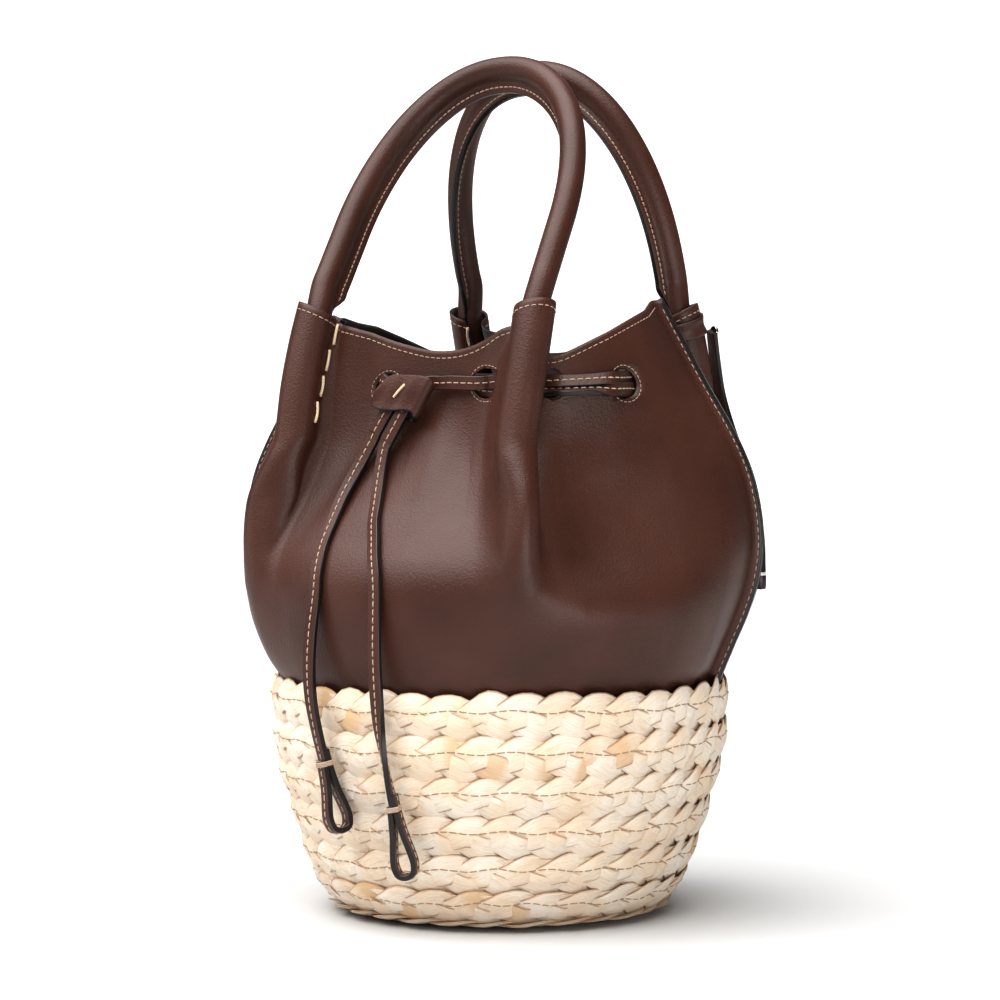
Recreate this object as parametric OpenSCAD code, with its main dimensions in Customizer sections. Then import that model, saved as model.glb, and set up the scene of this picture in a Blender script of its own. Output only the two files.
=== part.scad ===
// Bucket bag: a plaited straw basket with a drawstring leather upper and two tubular handles.
// Origin at the centre of the flat bottom, +Z up, the front faces -Y, lengths in millimetres.
// Front and back are the same shape turned half a turn about Z, except for the lean of the handles.

/* [Basket] */
// Outer radius of the rim of the basket
rim_r = 110; // [106:1:114]
// Height of the rim
rim_z = 110; // [106:1:114]
// Radius at which the wall starts, at the bottom
foot_r = 78; // [74:1:82]
// Thickness of the plait at its middle
plait_t = 5; // [4:0.5:6]
// Thickness of the cotton lining
lining_t = 0.8; // [0.5:0.1:1.5]
// Thickness of the stiff board in the bottom
board_t = 2; // [1:0.5:3]

/* [Leather upper] */
// Thickness of the leather, measured level
leather_t = 2.2; // [1.6:0.2:3]
// How far the sewn side seams stand out
seam_out = 5; // [3:0.5:7]
// Thickness of a side seam, two layers
seam_t = 3; // [2:0.5:4]
// Diameter of the drawstring holes
hole_d = 14.5; // [13:0.5:16]
// Height of the drawstring holes
hole_z = 252; // [250:1:254]

/* [Handles] */
// Diameter of a handle, without its flange
handle_d = 12.4; // [11:0.2:13]
// Diameter of the cord inside
core_d = 8.4; // [7:0.2:9]
// How far the stitched flange stands out of the tube
flange_out = 5; // [3:0.5:6]
// Thickness of the stitched flange
flange_t = 3.2; // [2.4:0.2:4]
// How far the flange turns inwards at the feet, in degrees
flange_turn = 50; // [0:5:60]
// Outer diameter of the leather sleeves that hold the feet
sleeve_d = 20; // [18:0.5:21]
// Bore of the sleeves
sleeve_bore = 14; // [13.6:0.2:14.4]

/* [Drawstrings] */
// Width of the strap
strap_w = 6.5; // [5:0.5:7]
// Thickness of the strap
strap_t = 2.4; // [1.6:0.2:2.8]
// Thickness of the leather of the keepers
keeper_t = 1.5; // [1:0.1:2]
// Height of the keepers along the straps
keeper_h = 22; // [18:1:24]

/* [Hidden] */
row_count = 6;
corners = ["front_left", "front_right", "back_right", "back_left"];
sides = ["front", "back"];
tails = ["left", "right"];

base_t = 4;          // thickness of the plait in the bottom
gap = 0.3;           // room left between pieces that only lie against each other
panel_cols = 40;     // facets round one panel
panel_rows = 14;     // facets up one panel
pivot_z = 294;       // height of the line that the handles tilt about
handle_low = 3;      // the moving part of a handle starts this far above it
sleeve_top_z = 290;
wall_low = 102;      // lowest edge of the leather, inside the basket

// The wall of the basket, [height, outer radius], from the foot to the rim
wall = [[4, foot_r], [15, 88], [31, 95], [45, 99.5], [60, 104], [75, 108], [92, rim_r - 0.5], [rim_z, rim_r]];
// Heights of the edges of the rows, nearly the same distance apart along the wall
row_z = [4, 18.5, 36, 54, 72.5, 91, rim_z];

// Outlines of the leather, [height, outer radius], at a sleeve, at the drawstring hole beside a side
// seam, at a side seam, halfway between a sleeve and the middle of a panel, and at the middle
at_sleeve = [[102, 101], [110, 104], [122, 112.5], [140, 120], [160, 125.5], [180, 127.5], [196, 124],
    [208, 115], [218, 98.5], [226, 92], [252, 84.4], [296, 72.4]];
at_side = [[102, 101], [110, 104], [122, 112], [140, 119], [160, 124], [180, 124.5], [205, 115],
    [228, 103], [252, 94], [296, 78]];
at_seam = [[102, 101], [110, 102], [130, 110], [144, 116], [160, 121], [180, 123], [206, 119],
    [226, 111], [252, 96], [296, 72]];
at_quarter = [[102, 101], [110, 104], [122, 111], [135, 114], [150, 114], [165, 108], [180, 99],
    [200, 86], [225, 74], [252, 68], [296, 64]];
at_middle = [[102, 101], [110, 104], [122, 109], [135, 110.5], [150, 108], [165, 101], [180, 92],
    [200, 79.5], [225, 67], [252, 60.5], [296, 57]];
// The same five outlines round half of the bag, [angle from +X, outline]; the other half repeats them
stations = [[-48, at_sleeve], [-17, at_side], [20, at_seam], [48, at_sleeve], [63, at_quarter],
    [90, at_middle], [117, at_quarter], [132, at_sleeve]];
// The top edge round the same half, [angle, height]
top_edge = [[-48, 281], [-42, 267], [-28, 266.5], [-10, 274], [20, 293], [34, 287], [48, 284],
    [60, 279], [75, 270], [90, 267], [112, 270], [126, 278], [132, 281]];

seam_angle = 20;
holes = [-61.2, -41, -17, 70.7];   // angles of half of the holes; the other half is opposite

// Axis of the front right sleeve, and its outward lean
sleeve_top = [61.5, -60, sleeve_top_z];
sleeve_low = [65.7, -81.2, 226];

// Handles: [half width, place of the foot, inward lean, straight part, height of the arch, sideways lean]
handle_shape = [[62, -57.7, 35, 34, 100.6, -3.5], [61, 63.4, 14.2, 14, 98.8, -2.5]];

// Frame of the front keeper: place, lean and roll
keeper_at = [-5.5, -70, 247];
keeper_turn = [-12, 26, 0];
channel_x = 4.3;     // the straps run this far to each side of the middle of the keeper
channel_t = strap_t + 1.6;   // opening between the two faces of the keeper
lead_out = 11.5;     // straight strap below the keeper, along which it slides

// Route of the front drawstring between its two holes, [angle, distance outside the leather, height]
run = [[-109, 1, 250.5], [-113, -4, 248.8], [-124, -4.4, 248.4], [-136, -4.4, 248.4],
    [-148, -4.4, 248.4], [-160, -4.4, 248.4], [-171, -4.4, 248.4], [-182, -4.4, 248.4], [-192, -4.2, 248.4],
    [-197, -0.5, 248.4], [-202, 3, 248.4], [-210, 3.2, 248.4], [-217, 2.4, 248.4], [-221, -1, 248.4],
    [-225, -4.4, 248.4], [-238, -4.4, 248.4], [-252, -4.4, 250], [-262, -4.4, 251], [-272, -4.4, 253],
    [-282, -4.4, 254.5], [-292, -4.4, 255.4], [-304, -4.4, 255.4], [-316, -4.4, 255.4], [-328, -4.4, 255.4],
    [-340, -4.4, 255.4], [-352, -4.4, 255.4], [-363, -4.4, 255.4], [-372, -4.2, 255.4], [-377, -0.5, 255.4],
    [-382, 3, 255.4], [-390, 3.2, 255.4], [-397, 2.4, 255.4], [-401, -1, 255.4], [-405, -4.4, 255.4],
    [-417, -4.4, 255.2], [-421, -0.5, 254.8], [-425, 3, 254.8], [-434, 3.6, 255.4]];
// How the two front straps leave the keeper, in the keeper's own frame: one by the open side
// towards the left hole, the other over the top towards the right hole
head_left = [[-4.3, 0, -8], [-5.4, 0, -3.6], [-8.4, 0, -0.8], [-12.4, 0, 0], [-16, 1.6, 0]];
head_right = [[11.5, 1.5, 14.6], [8, 0.8, 15.8], [5.4, 0.3, 15.2], [4.3, 0, 12]];
// Routes of the front tails, hanging free below the keeper
tail_left = [[-20, -74, 227], [-25, -78.5, 213], [-28.5, -85, 198], [-28, -95, 180], [-27, -104.5, 163],
    [-26, -111, 145], [-25.5, -113.5, 127], [-24.5, -114.5, 109], [-22, -114, 93], [-19.5, -112.5, 80]];
tail_right = [[-12.5, -75, 223], [-12, -80.5, 208], [-8, -89, 190], [-1, -101, 172], [5, -109.5, 155],
    [9, -113.5, 137], [11, -114.5, 118], [13, -115, 99], [16, -113, 80], [18.5, -110.5, 62]];
loop_len = 34;       // length of the folded loop at the end of a tail
fob_route = [[73, 75, 277], [71, 81.5, 262], [70.5, 87, 246], [73.5, 91.5, 229], [79, 95, 211], [84, 97, 193],
    [86.5, 97.5, 176], [87.5, 97, 160]];

brown = [0.36, 0.22, 0.18];
dark = [0.12, 0.07, 0.06];
straw = [0.88, 0.79, 0.62];
cream = [0.93, 0.86, 0.74];

function clamp(x) = min(1, max(0, x));
function unit(v) = v / norm(v);
function span_of(x, p, i = 0) = (i >= len(p) - 2 || x < p[i + 1][0]) ? i : span_of(x, p, i + 1);
function slope(p, i) =
    let (a = max(i - 1, 0), b = min(i + 1, len(p) - 1)) (p[b][1] - p[a][1]) / (p[b][0] - p[a][0]);
function hermite(t, h, p0, p1, m0, m1) =
    (2 * t * t * t - 3 * t * t + 1) * p0 + (3 * t * t - 2 * t * t * t) * p1
    + h * ((t * t * t - 2 * t * t + t) * m0 + (t * t * t - t * t) * m1);
// A smooth curve through the [x, y] points of p
function curve(x, p) =
    let (i = span_of(x, p), h = p[i + 1][0] - p[i][0], t = clamp((x - p[i][0]) / h))
    hermite(t, h, p[i][1], p[i + 1][1], slope(p, i), slope(p, i + 1));
// Angle in the half that the stations describe
function half_angle(a) = a - 180 * floor((a + 48) / 180);
// Outer radius of the leather at an angle and a height
function leather_r(a, z) =
    let (b = half_angle(a), n = len(stations),
         ring = concat([[stations[n - 2][0] - 180, curve(z, stations[n - 2][1])]],
                       [for (s = stations) [s[0], curve(z, s[1])]],
                       [[stations[1][0] + 180, curve(z, stations[1][1])]]))
    curve(b, ring);
function top_z(a) = lookup(half_angle(a), top_edge);
function polar(a, r, z) = [r * cos(a), r * sin(a), z];
// Level direction out of the leather at a place
function outward(p) = unit([p[0] * abs(p[0]) / 8800, p[1] * abs(p[1]) / 3700, 0]);

// Faces of a grid of rings; each ring has m points, and flat ends close it
function side_faces(n, m) = [for (i = [0:n - 2], j = [0:m - 1]) each
    let (k = (j + 1) % m) [[i * m + j, i * m + k, (i + 1) * m + k], [i * m + j, (i + 1) * m + k, (i + 1) * m + j]]];
function end_faces(n, m) = [[for (j = [m - 1:-1:0]) j], [for (j = [0:m - 1]) (n - 1) * m + j]];
function tangent(p, i) = unit(p[min(i + 1, len(p) - 1)] - p[max(i - 1, 0)]);
// A ring of a flat strap that lies on the leather
function strap_ring(p, t, w, h) =
    let (o = outward(p), n = unit(o - (o * t) * t), s = cross(t, n), c = h * 0.3)
    [for (q = [[w, c], [w - c, h], [c - w, h], [-w, c], [-w, -c], [c - w, -h], [w - c, -h], [w, -c]])
        p + q[0] * s + q[1] * n];

module sweep(rings) {
    m = len(rings[0]);
    polyhedron([for (r = rings) each r], concat(end_faces(len(rings), m), side_faces(len(rings), m)));
}

module strap(points) {
    rings = [for (i = [0:len(points) - 1]) strap_ring(points[i], tangent(points, i), strap_w / 2, strap_t / 2)];
    sweep(rings);
}

// Turns a front piece into its twin at the back
module twin(side) {
    rotate([0, 0, side == 0 ? 0 : 180]) children();
}

// ---- Basket ----

// [outer radius, height] of the edge between row i and the next one
function row_edge(i) = [curve(row_z[i], wall), row_z[i]];

module basket_row(i) {
    a = row_edge(i - 1);
    b = row_edge(i);
    along = unit(b - a);
    out = [along[1], -along[0]];
    len_row = norm(b - a) - 0.4;
    steps = 8;
    bulge = [for (k = [0:steps]) sin(180 * k / steps)];
    outer = [for (k = [0:steps]) a + along * (0.2 + len_row * k / steps) + out * bulge[k] * 1.2];
    inner = [for (k = [steps:-1:0]) a + along * (0.2 + len_row * k / steps) - out * (0.6 + bulge[k] * (plait_t - 1.8))];
    color(straw) rotate_extrude($fn = 96) polygon(concat(outer, inner));
}

module basket_base() {
    color(straw) cylinder(r = foot_r - 0.5, h = base_t - 0.2, $fn = 96);
}

module base_board() {
    color([0.6, 0.5, 0.4]) translate([0, 0, base_t + 0.6]) cylinder(r = foot_r - plait_t - 6, h = board_t, $fn = 96);
}

module lining() {
    bottom_z = base_t + 0.6 + board_t + gap;
    inset = plait_t + 0.8;
    outer = [for (w = wall) if (w[0] > bottom_z) [w[1] - inset - (w[0] < 20 ? 3 : 0), min(w[0], rim_z - 9)]];
    skin = concat([[0, bottom_z], [foot_r - inset - 4, bottom_z]], outer);
    inner = [for (k = [len(skin) - 1:-1:1]) skin[k] + [-lining_t, skin[k][1] > bottom_z ? 0 : lining_t]];
    color([0.75, 0.68, 0.58]) rotate_extrude($fn = 96) polygon(concat(skin, inner, [[0, bottom_z + lining_t]]));
}

// ---- Leather upper ----

// One panel spans half a turn from a side seam; its grid has an outer and an inner skin
module panel(start) {
    // Half of the seam's thickness as an angle, so that the edges of the panel lie flat against the seam
    function edge(z) = asin((seam_t / 2 + 0.1) / (leather_r(seam_angle, z) - leather_t));
    function skin(inset) = [for (j = [0:panel_cols]) let (level = start + 180 * j / panel_cols)
        [for (i = [0:panel_rows])
            let (z = wall_low + (top_z(level) - wall_low) * i / panel_rows,
                 a = start + edge(z) + (180 - 2 * edge(z)) * j / panel_cols)
            polar(a, leather_r(a, z) - inset, z)]];
    outer = skin(0);
    inner = skin(leather_t);
    rings = [for (j = [0:panel_cols]) concat(outer[j], [for (i = [panel_rows:-1:0]) inner[j][i]])];
    difference() {
        sweep(rings);
        for (h = holes, half = [0, 180])
            rotate([0, 0, h + half]) translate([40, 0, hole_z]) rotate([0, 90, 0])
                cylinder(d = hole_d, h = 80, $fn = 32);
    }
}

// The edges of both panels, sewn together and standing out
module side_seam(angle) {
    n = 16;
    rings = [for (i = [0:n]) let (z = 104 + (293 - 104) * i / n, r = leather_r(seam_angle, z), w = seam_t / 2)
        [[r - leather_t, -w, z], [r - leather_t, w, z], [r + seam_out * clamp((z - 100) / 12), w, z],
            [r + seam_out * clamp((z - 100) / 12), -w, z]]];
    color(dark) rotate([0, 0, angle]) sweep(rings);
}

// Puts its children on the axis of a sleeve, +Z up the axis and the origin at its mouth
module at_sleeve_mouth(i) {
    front = i < 2;
    right = i == 1 || i == 2;
    axis = sleeve_top - sleeve_low;
    lean = atan2(axis[1], axis[2]);
    splay = asin(axis[0] / norm(axis));
    mirror([right ? 0 : 1, 0, 0]) mirror([0, front ? 0 : 1, 0])
        translate(sleeve_top) rotate([-lean, 0, 0]) rotate([0, splay, 0]) children();
}

module sleeve(i) {
    length = norm(sleeve_top - sleeve_low);
    color(brown) at_sleeve_mouth(i) translate([0, 0, -length]) difference() {
        cylinder(d = sleeve_d, h = length, $fn = 48);
        translate([0, 0, 3]) cylinder(d = sleeve_bore, h = length, $fn = 48);
    }
}

// Four long hand stitches close each sleeve, on its right as seen from outside the bag
module sleeve_stitches() {
    color(cream) for (i = [0:3]) at_sleeve_mouth(i) for (k = [0:3])
        rotate([0, 0, i % 2 == 0 ? 165 : 15]) translate([sleeve_d / 2 + 0.6, 0, -16 - 14 * k])
            cylinder(d = 1, h = 12, center = true, $fn = 24);
}

// ---- Handles ----

function arch_x(h, s) = let (c = cos(180 * s)) -h[0] * sign(c) * pow(abs(c), 0.95);
function arch_v(h, s) = h[3] + h[4] * pow(sin(180 * s), 0.95);
function leg(h) = [for (k = [0:2]) handle_low + (h[3] - handle_low) * k / 3];
// Centre line of a handle in its leaning plane, [across, distance up from the pivot line]
function handle_line(h, n) = concat(
    [for (v = leg(h)) [-h[0], v]],
    [for (k = [0:n]) [arch_x(h, k / n), arch_v(h, k / n)]],
    [for (k = [2:-1:0]) [h[0], leg(h)[k]]]);
function in_space(h, inward, q) =
    [q[0] + h[5] * q[1] / 50, h[1] + inward * q[1] * sin(h[2]), pivot_z + q[1] * cos(h[2])];
function circle_section(r, n) = [for (k = [0:n - 1]) r * [cos(360 * k / n), sin(360 * k / n)]];
// The section of the leather tube: a circle with the stitched flange on one side
function tube_section(flange) =
    let (r = handle_d / 2, w = flange_t / 2, b = asin(w / r))
    concat([[r + flange, -w], [r + flange, w]],
        [for (k = [0:13]) let (a = b + (360 - 2 * b) * k / 13) r * [cos(a), sin(a)]]);

// Sweeps a round core, or the hollow skin with its flange, along a handle
module handle_sweep(side, hollow) {
    h = handle_shape[side];
    inward = side == 0 ? 1 : -1;
    line = handle_line(h, 30);
    places = [for (q = line) in_space(h, inward, q)];
    into_bag = [0, inward * cos(h[2]), -sin(h[2])];
    // At every place: the direction of the flange, and the direction across it
    frames = [for (i = [0:len(places) - 1])
        let (t = tangent(places, i), turn = flange_turn * (1 - line[i][1] / (h[3] + h[4])),
             n = cos(turn) * inward * cross(into_bag, t) + sin(turn) * into_bag, m = unit(n - (n * t) * t))
        [m, cross(m, t)]];
    function place(section, i) = [for (q = section) places[i] + q[0] * frames[i][0] + q[1] * frames[i][1]];
    if (hollow) {
        flanges = [for (q = line) flange_out * max(0.05, clamp((q[1] - handle_low) / 12))];
        bore = [for (q = tube_section(0.3)) (core_d / 2 + 0.1) * unit(q)];
        tube([for (i = [0:len(places) - 1]) place(tube_section(flanges[i]), i)],
            [for (i = [0:len(places) - 1]) place(bore, i)]);
    } else sweep([for (i = [0:len(places) - 1]) place(circle_section(core_d / 2, 12), i)]);
}

// A hollow sweep: the outer skin, the inner skin turned inside out, and a flat rim at each end
module tube(outer, inner) {
    n = len(outer);
    m = len(outer[0]);
    shift = n * m;
    last = (n - 1) * m;
    flipped = [for (f = side_faces(n, m)) [f[2] + shift, f[1] + shift, f[0] + shift]];
    rims = [for (j = [0:m - 1]) each let (k = (j + 1) % m) [
        [j, shift + j, k], [k, shift + j, shift + k],
        [last + j, last + k, shift + last + j], [last + k, shift + last + k, shift + last + j]]];
    polyhedron([for (r = outer) each r, for (r = inner) each r], concat(side_faces(n, m), flipped, rims));
}

module handle_skin(side) {
    color(brown) handle_sweep(side, true);
}

module handle_core(side) {
    color([0.7, 0.65, 0.55]) handle_sweep(side, false);
}

// The ends of a handle that stay in its two sleeves
module handle_feet(side) {
    foot_l = 58;
    color(brown) for (i = side == 0 ? [0, 1] : [2, 3])
        at_sleeve_mouth(i) translate([0, 0, -foot_l - 3]) cylinder(d = handle_d, h = foot_l, $fn = 48);
}

// ---- Drawstrings ----

function rot_x(v, a) = [v[0], v[1] * cos(a) - v[2] * sin(a), v[1] * sin(a) + v[2] * cos(a)];
function rot_y(v, a) = [v[0] * cos(a) + v[2] * sin(a), v[1], v[2] * cos(a) - v[0] * sin(a)];
function in_keeper(v) = keeper_at + rot_x(rot_y(v, keeper_turn[1]), keeper_turn[0]);

module drawstring(side) {
    // The leather leans, so the strap's upper edge meets it inside the bag and the lower edge outside
    threaded = [for (q = run)
        let (meets = q[2] + (q[1] < 0 ? strap_w : -strap_w) / 2) polar(q[0], leather_r(q[0], meets) + q[1], q[2])];
    tips = [for (x = [-channel_x, channel_x]) in_keeper([x, 0, -keeper_h / 2 - lead_out])];
    leave = [for (q = head_left) in_keeper(q)];
    arrive = [for (q = head_right) in_keeper(q)];
    color(brown) twin(side) strap(concat([tips[0]], leave, threaded, arrive, [tips[1]]));
}

// A tab folded round both straps: the fold is on the right, the open edge on the left
module keeper(side) {
    thick = channel_t + 2 * keeper_t;
    left = -channel_x - strap_w / 2 - 2.8;
    right = channel_x + strap_w / 2 + 0.4;
    color(brown) twin(side) translate(keeper_at) rotate([keeper_turn[0], 0, 0]) rotate([0, keeper_turn[1], 0])
        difference() {
            union() {
                translate([left, -thick / 2, -keeper_h / 2]) cube([right - left, thick, keeper_h]);
                translate([right, 0, -keeper_h / 2]) cylinder(d = thick, h = keeper_h, $fn = 48);
            }
            translate([left - 1, -channel_t / 2, -keeper_h]) cube([right - left + 1, channel_t, 2 * keeper_h]);
        }
}

// One thread through both faces, between the two straps, with a long stitch on each face
module keeper_stitch(side) {
    thick = channel_t + 2 * keeper_t;
    color(cream) twin(side) translate(keeper_at) rotate([keeper_turn[0], 0, 0]) rotate([0, keeper_turn[1], 0]) {
        for (s = [-1, 1]) translate([0, s * (thick / 2 + 0.5), 0]) cylinder(d = 0.9, h = 9, center = true, $fn = 24);
        rotate([90, 0, 0]) cylinder(d = 0.8, h = thick + 1, center = true, $fn = 24);
    }
}

module tail(side, i) {
    color(brown) twin(side) strap(i == 0 ? tail_left : tail_right);
}

// Puts its children at the end of a tail, +Z back up the strap
module at_tail_end(side, i) {
    route = i == 0 ? tail_left : tail_right;
    end = route[len(route) - 1];
    up = unit(route[len(route) - 2] - end);
    twin(side) translate(end) rotate([0, 0, atan2(up[1], up[0])]) rotate([0, acos(up[2]), 0])
        rotate([0, 0, -atan2(up[1], up[0]) + (i == 0 ? 70 : 20)]) children();
}

// The strap folded back on itself: a teardrop ring as wide as the strap
module tail_loop(side, i) {
    inner_r = 2.6;
    color(dark) at_tail_end(side, i) translate([0, 0, -gap]) rotate([90, 0, 0])
        linear_extrude(strap_w, center = true) difference() {
            hull() {
                translate([0, -loop_len + inner_r + strap_t]) circle(inner_r + strap_t, $fn = 32);
                translate([0, -strap_t]) square([2 * strap_t, 2 * strap_t], center = true);
            }
            hull() {
                translate([0, -loop_len + inner_r + strap_t]) circle(inner_r, $fn = 32);
                translate([0, -3 * strap_t]) circle(0.4, $fn = 32);
            }
        }
}

// Thread wound round the strap where the loop closes
module tail_tie(side, i) {
    color(cream) at_tail_end(side, i) translate([0, 0, -gap - 1.6]) difference() {
        cube([2 * strap_t + 1.8, strap_w + 1.8, 1.6], center = true);
        cube([2 * strap_t + 0.2, strap_w + 0.2, 3], center = true);
    }
}

// ---- Fob ----

// A leather band round the foot of the right back handle; it is open where the panel passes
module fob_loop() {
    band_h = 8;
    color(brown) at_sleeve_mouth(2) translate([0, 0, -12 - band_h / 2]) difference() {
        cylinder(d = sleeve_d + 4.6, h = band_h, $fn = 48);
        translate([0, 0, -1]) cylinder(d = sleeve_d + 2 * gap, h = band_h + 2, $fn = 48);
        rotate([0, 0, 140]) translate([2, -20, -1]) cube([20, 40, band_h + 2]);
    }
}

module fob_stud() {
    color([0.8, 0.78, 0.75]) at_sleeve_mouth(2) rotate([0, 0, 10])
        translate([sleeve_d / 2 + 2.3, 0, -12]) rotate([0, 90, 0]) cylinder(d = 5, h = 1.4, $fn = 32);
}

module fob_strap() {
    color(brown) strap(fob_route);
}

module fob_tip() {
    end = fob_route[len(fob_route) - 1];
    color(dark) translate(end - [0, 0, 9.3]) cylinder(d = 5.5, h = 9, $fn = 32);
}

basket_base();
base_board();
lining();
for (i = [1:row_count])
    basket_row(i);
color(brown) panel(seam_angle + 180);  // front_panel
color(brown) panel(seam_angle);  // back_panel
side_seam(seam_angle);  // side_seam_right
side_seam(seam_angle + 180);  // side_seam_left
for (i = [0:3])
    sleeve(i);
sleeve_stitches();
for (i = [0:1]) {
    handle_skin(i);
    handle_core(i);
    handle_feet(i);
    drawstring(i);
    keeper(i);
    keeper_stitch(i);
    for (k = [0:1]) {
        tail(i, k);
        tail_loop(i, k);
        tail_tie(i, k);
    }
}
fob_loop();
fob_stud();
fob_strap();
fob_tip();
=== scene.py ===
import math

import bpy
import numpy as np
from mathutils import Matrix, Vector
from mathutils.bvhtree import BVHTree


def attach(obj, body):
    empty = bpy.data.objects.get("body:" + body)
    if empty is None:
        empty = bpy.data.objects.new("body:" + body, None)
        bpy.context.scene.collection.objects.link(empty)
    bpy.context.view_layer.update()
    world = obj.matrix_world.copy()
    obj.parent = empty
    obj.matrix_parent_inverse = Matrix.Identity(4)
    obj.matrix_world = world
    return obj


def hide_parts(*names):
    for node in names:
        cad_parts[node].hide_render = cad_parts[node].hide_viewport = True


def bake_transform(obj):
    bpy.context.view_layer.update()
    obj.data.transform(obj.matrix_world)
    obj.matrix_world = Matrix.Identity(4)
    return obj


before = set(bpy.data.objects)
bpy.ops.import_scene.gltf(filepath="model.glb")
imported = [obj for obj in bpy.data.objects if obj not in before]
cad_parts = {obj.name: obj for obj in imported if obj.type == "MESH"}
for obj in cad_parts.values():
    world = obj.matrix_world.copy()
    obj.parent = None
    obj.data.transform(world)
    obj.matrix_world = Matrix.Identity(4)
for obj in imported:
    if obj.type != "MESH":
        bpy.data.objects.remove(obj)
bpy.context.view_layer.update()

# All lengths below are millimetres and all angles degrees; MM turns them into the frame's metres.
MM = 0.001
rng = np.random.default_rng(7)


# ---------------------------------------------------------------- numbers and curves

def hermite(t, h, p0, p1, m0, m1):
    return ((2 * t**3 - 3 * t**2 + 1) * p0 + (3 * t**2 - 2 * t**3) * p1
            + h * ((t**3 - 2 * t**2 + t) * m0 + (t**3 - t**2) * m1))


def slopes(x, y):
    inner = (y[2:] - y[:-2]) / (x[2:] - x[:-2]).reshape(-1, *[1] * (y.ndim - 1))
    first = (y[1] - y[0]) / (x[1] - x[0])
    last = (y[-1] - y[-2]) / (x[-1] - x[-2])
    return np.concatenate([[first], inner, [last]])


def curve(x, points):
    """A smooth curve through [x, y] points, level beyond its ends."""
    px, py = np.array(points, float).T
    x = np.clip(x, px[0], px[-1])
    m = slopes(px, py)
    i = np.clip(np.searchsorted(px, x, side="right") - 1, 0, len(px) - 2)
    h = px[i + 1] - px[i]
    return hermite((x - px[i]) / h, h, py[i], py[i + 1], m[i], m[i + 1])


def smooth(t):
    t = np.clip(t, 0, 1)
    return t * t * (3 - 2 * t)


def unit(v):
    v = np.asarray(v, float)
    return v / np.maximum(np.linalg.norm(v, axis=-1, keepdims=True), 1e-9)


def polar(angle, radius, z):
    a = np.radians(angle)
    return np.stack(np.broadcast_arrays(radius * np.cos(a), radius * np.sin(a), z), axis=-1)


def distances(line):
    """How far along a line each of its points lies."""
    return np.concatenate([[0], np.cumsum(np.linalg.norm(np.diff(line, axis=0), axis=1))])


def read_at(places, s, values):
    """Points or directions that are known at the distances s, at other places along the line."""
    return np.stack([np.interp(places, s, values[:, k]) for k in range(3)], axis=1)


def spline(points, step):
    """Evenly spaced points on a smooth line through the given ones."""
    p = np.array(points, float)
    s = distances(p)
    fine = np.linspace(0, s[-1], 40 * len(p))
    i = np.clip(np.searchsorted(s, fine, side="right") - 1, 0, len(s) - 2)
    h = (s[i + 1] - s[i])[:, None]
    m = slopes(s, p)
    line = hermite((fine[:, None] - s[i][:, None]) / h, h, p[i], p[i + 1], m[i], m[i + 1])
    return resample(line, step)


def resample(line, step):
    s = distances(line)
    return read_at(np.linspace(0, s[-1], max(2, round(s[-1] / step)) + 1), s, line)


def length_of(line):
    return float(np.linalg.norm(np.diff(line, axis=0), axis=1).sum())


def tangents(line):
    return unit(np.gradient(line, axis=0))


def across(normals, line):
    """The normals, turned square to the line."""
    t = tangents(line)
    n = np.broadcast_to(normals, line.shape)
    return unit(n - (n * t).sum(axis=1, keepdims=True) * t)


def twin(side, points):
    """A front point, or the same point at the back, half a turn round."""
    return np.asarray(points, float) if side == "front" else np.asarray(points) * [-1, -1, 1]


# ---------------------------------------------------------------- meshes

def new_piece(name, verts, faces, materials, face_material=None, attributes=None):
    mesh = bpy.data.meshes.new(name)
    mesh.from_pydata((np.asarray(verts) * MM).tolist(), [], [list(f) for f in faces])
    for m in materials:
        mesh.materials.append(m)
    if face_material is not None:
        mesh.polygons.foreach_set("material_index", np.asarray(face_material, np.int32))
    mesh.polygons.foreach_set("use_smooth", np.ones(len(mesh.polygons), bool))
    for key, values in (attributes or {}).items():
        values = np.asarray(values, np.float32)
        kind, field = ("FLOAT", "value") if values.ndim == 1 else ("FLOAT_VECTOR", "vector")
        mesh.attributes.new(key, kind, "POINT").data.foreach_set(field, values.ravel())
    mesh.update()
    piece = bpy.data.objects.new(name, mesh)
    bpy.context.collection.objects.link(piece)
    return piece


def ring_faces(rings, per_ring, closed=False):
    """Quads between rings of points that follow each other, and flat ends unless they close."""
    faces = []
    for i in range(rings if closed else rings - 1):
        a, b = i * per_ring, (i + 1) % rings * per_ring
        faces += [(a + j, a + (j + 1) % per_ring, b + (j + 1) % per_ring, b + j) for j in range(per_ring)]
    if not closed:
        faces.append(list(range(per_ring - 1, -1, -1)))
        faces.append([(rings - 1) * per_ring + j for j in range(per_ring)])
    return faces


def grid_faces(columns, rows, closed=False):
    """Quads between upright columns of points that follow each other."""
    return [(c * rows + r, (c + 1) % columns * rows + r, (c + 1) % columns * rows + r + 1, c * rows + r + 1)
            for c in range(columns if closed else columns - 1) for r in range(rows - 1)]


def sweep(line, normals, sections, closed=False):
    """Points and faces of sections carried along a line; a section is [along the normal, across it]."""
    t = tangents(line)
    n = across(normals, line)
    b = np.cross(t, n)
    sections = np.broadcast_to(sections, (len(line),) + np.shape(sections)[-2:])
    verts = line[:, None] + sections[..., :1] * n[:, None] + sections[..., 1:] * b[:, None]
    return verts.reshape(-1, 3), ring_faces(len(line), sections.shape[1], closed)


def join_parts(parts):
    verts, faces, start = [], [], 0
    for v, f in parts:
        verts.append(v)
        faces += [[i + start for i in face] for face in f]
        start += len(v)
    return np.concatenate(verts), faces


def circle(radius, n):
    a = np.linspace(0, 2 * np.pi, n, endpoint=False)
    return np.stack([radius * np.cos(a), radius * np.sin(a)], axis=1)


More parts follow.
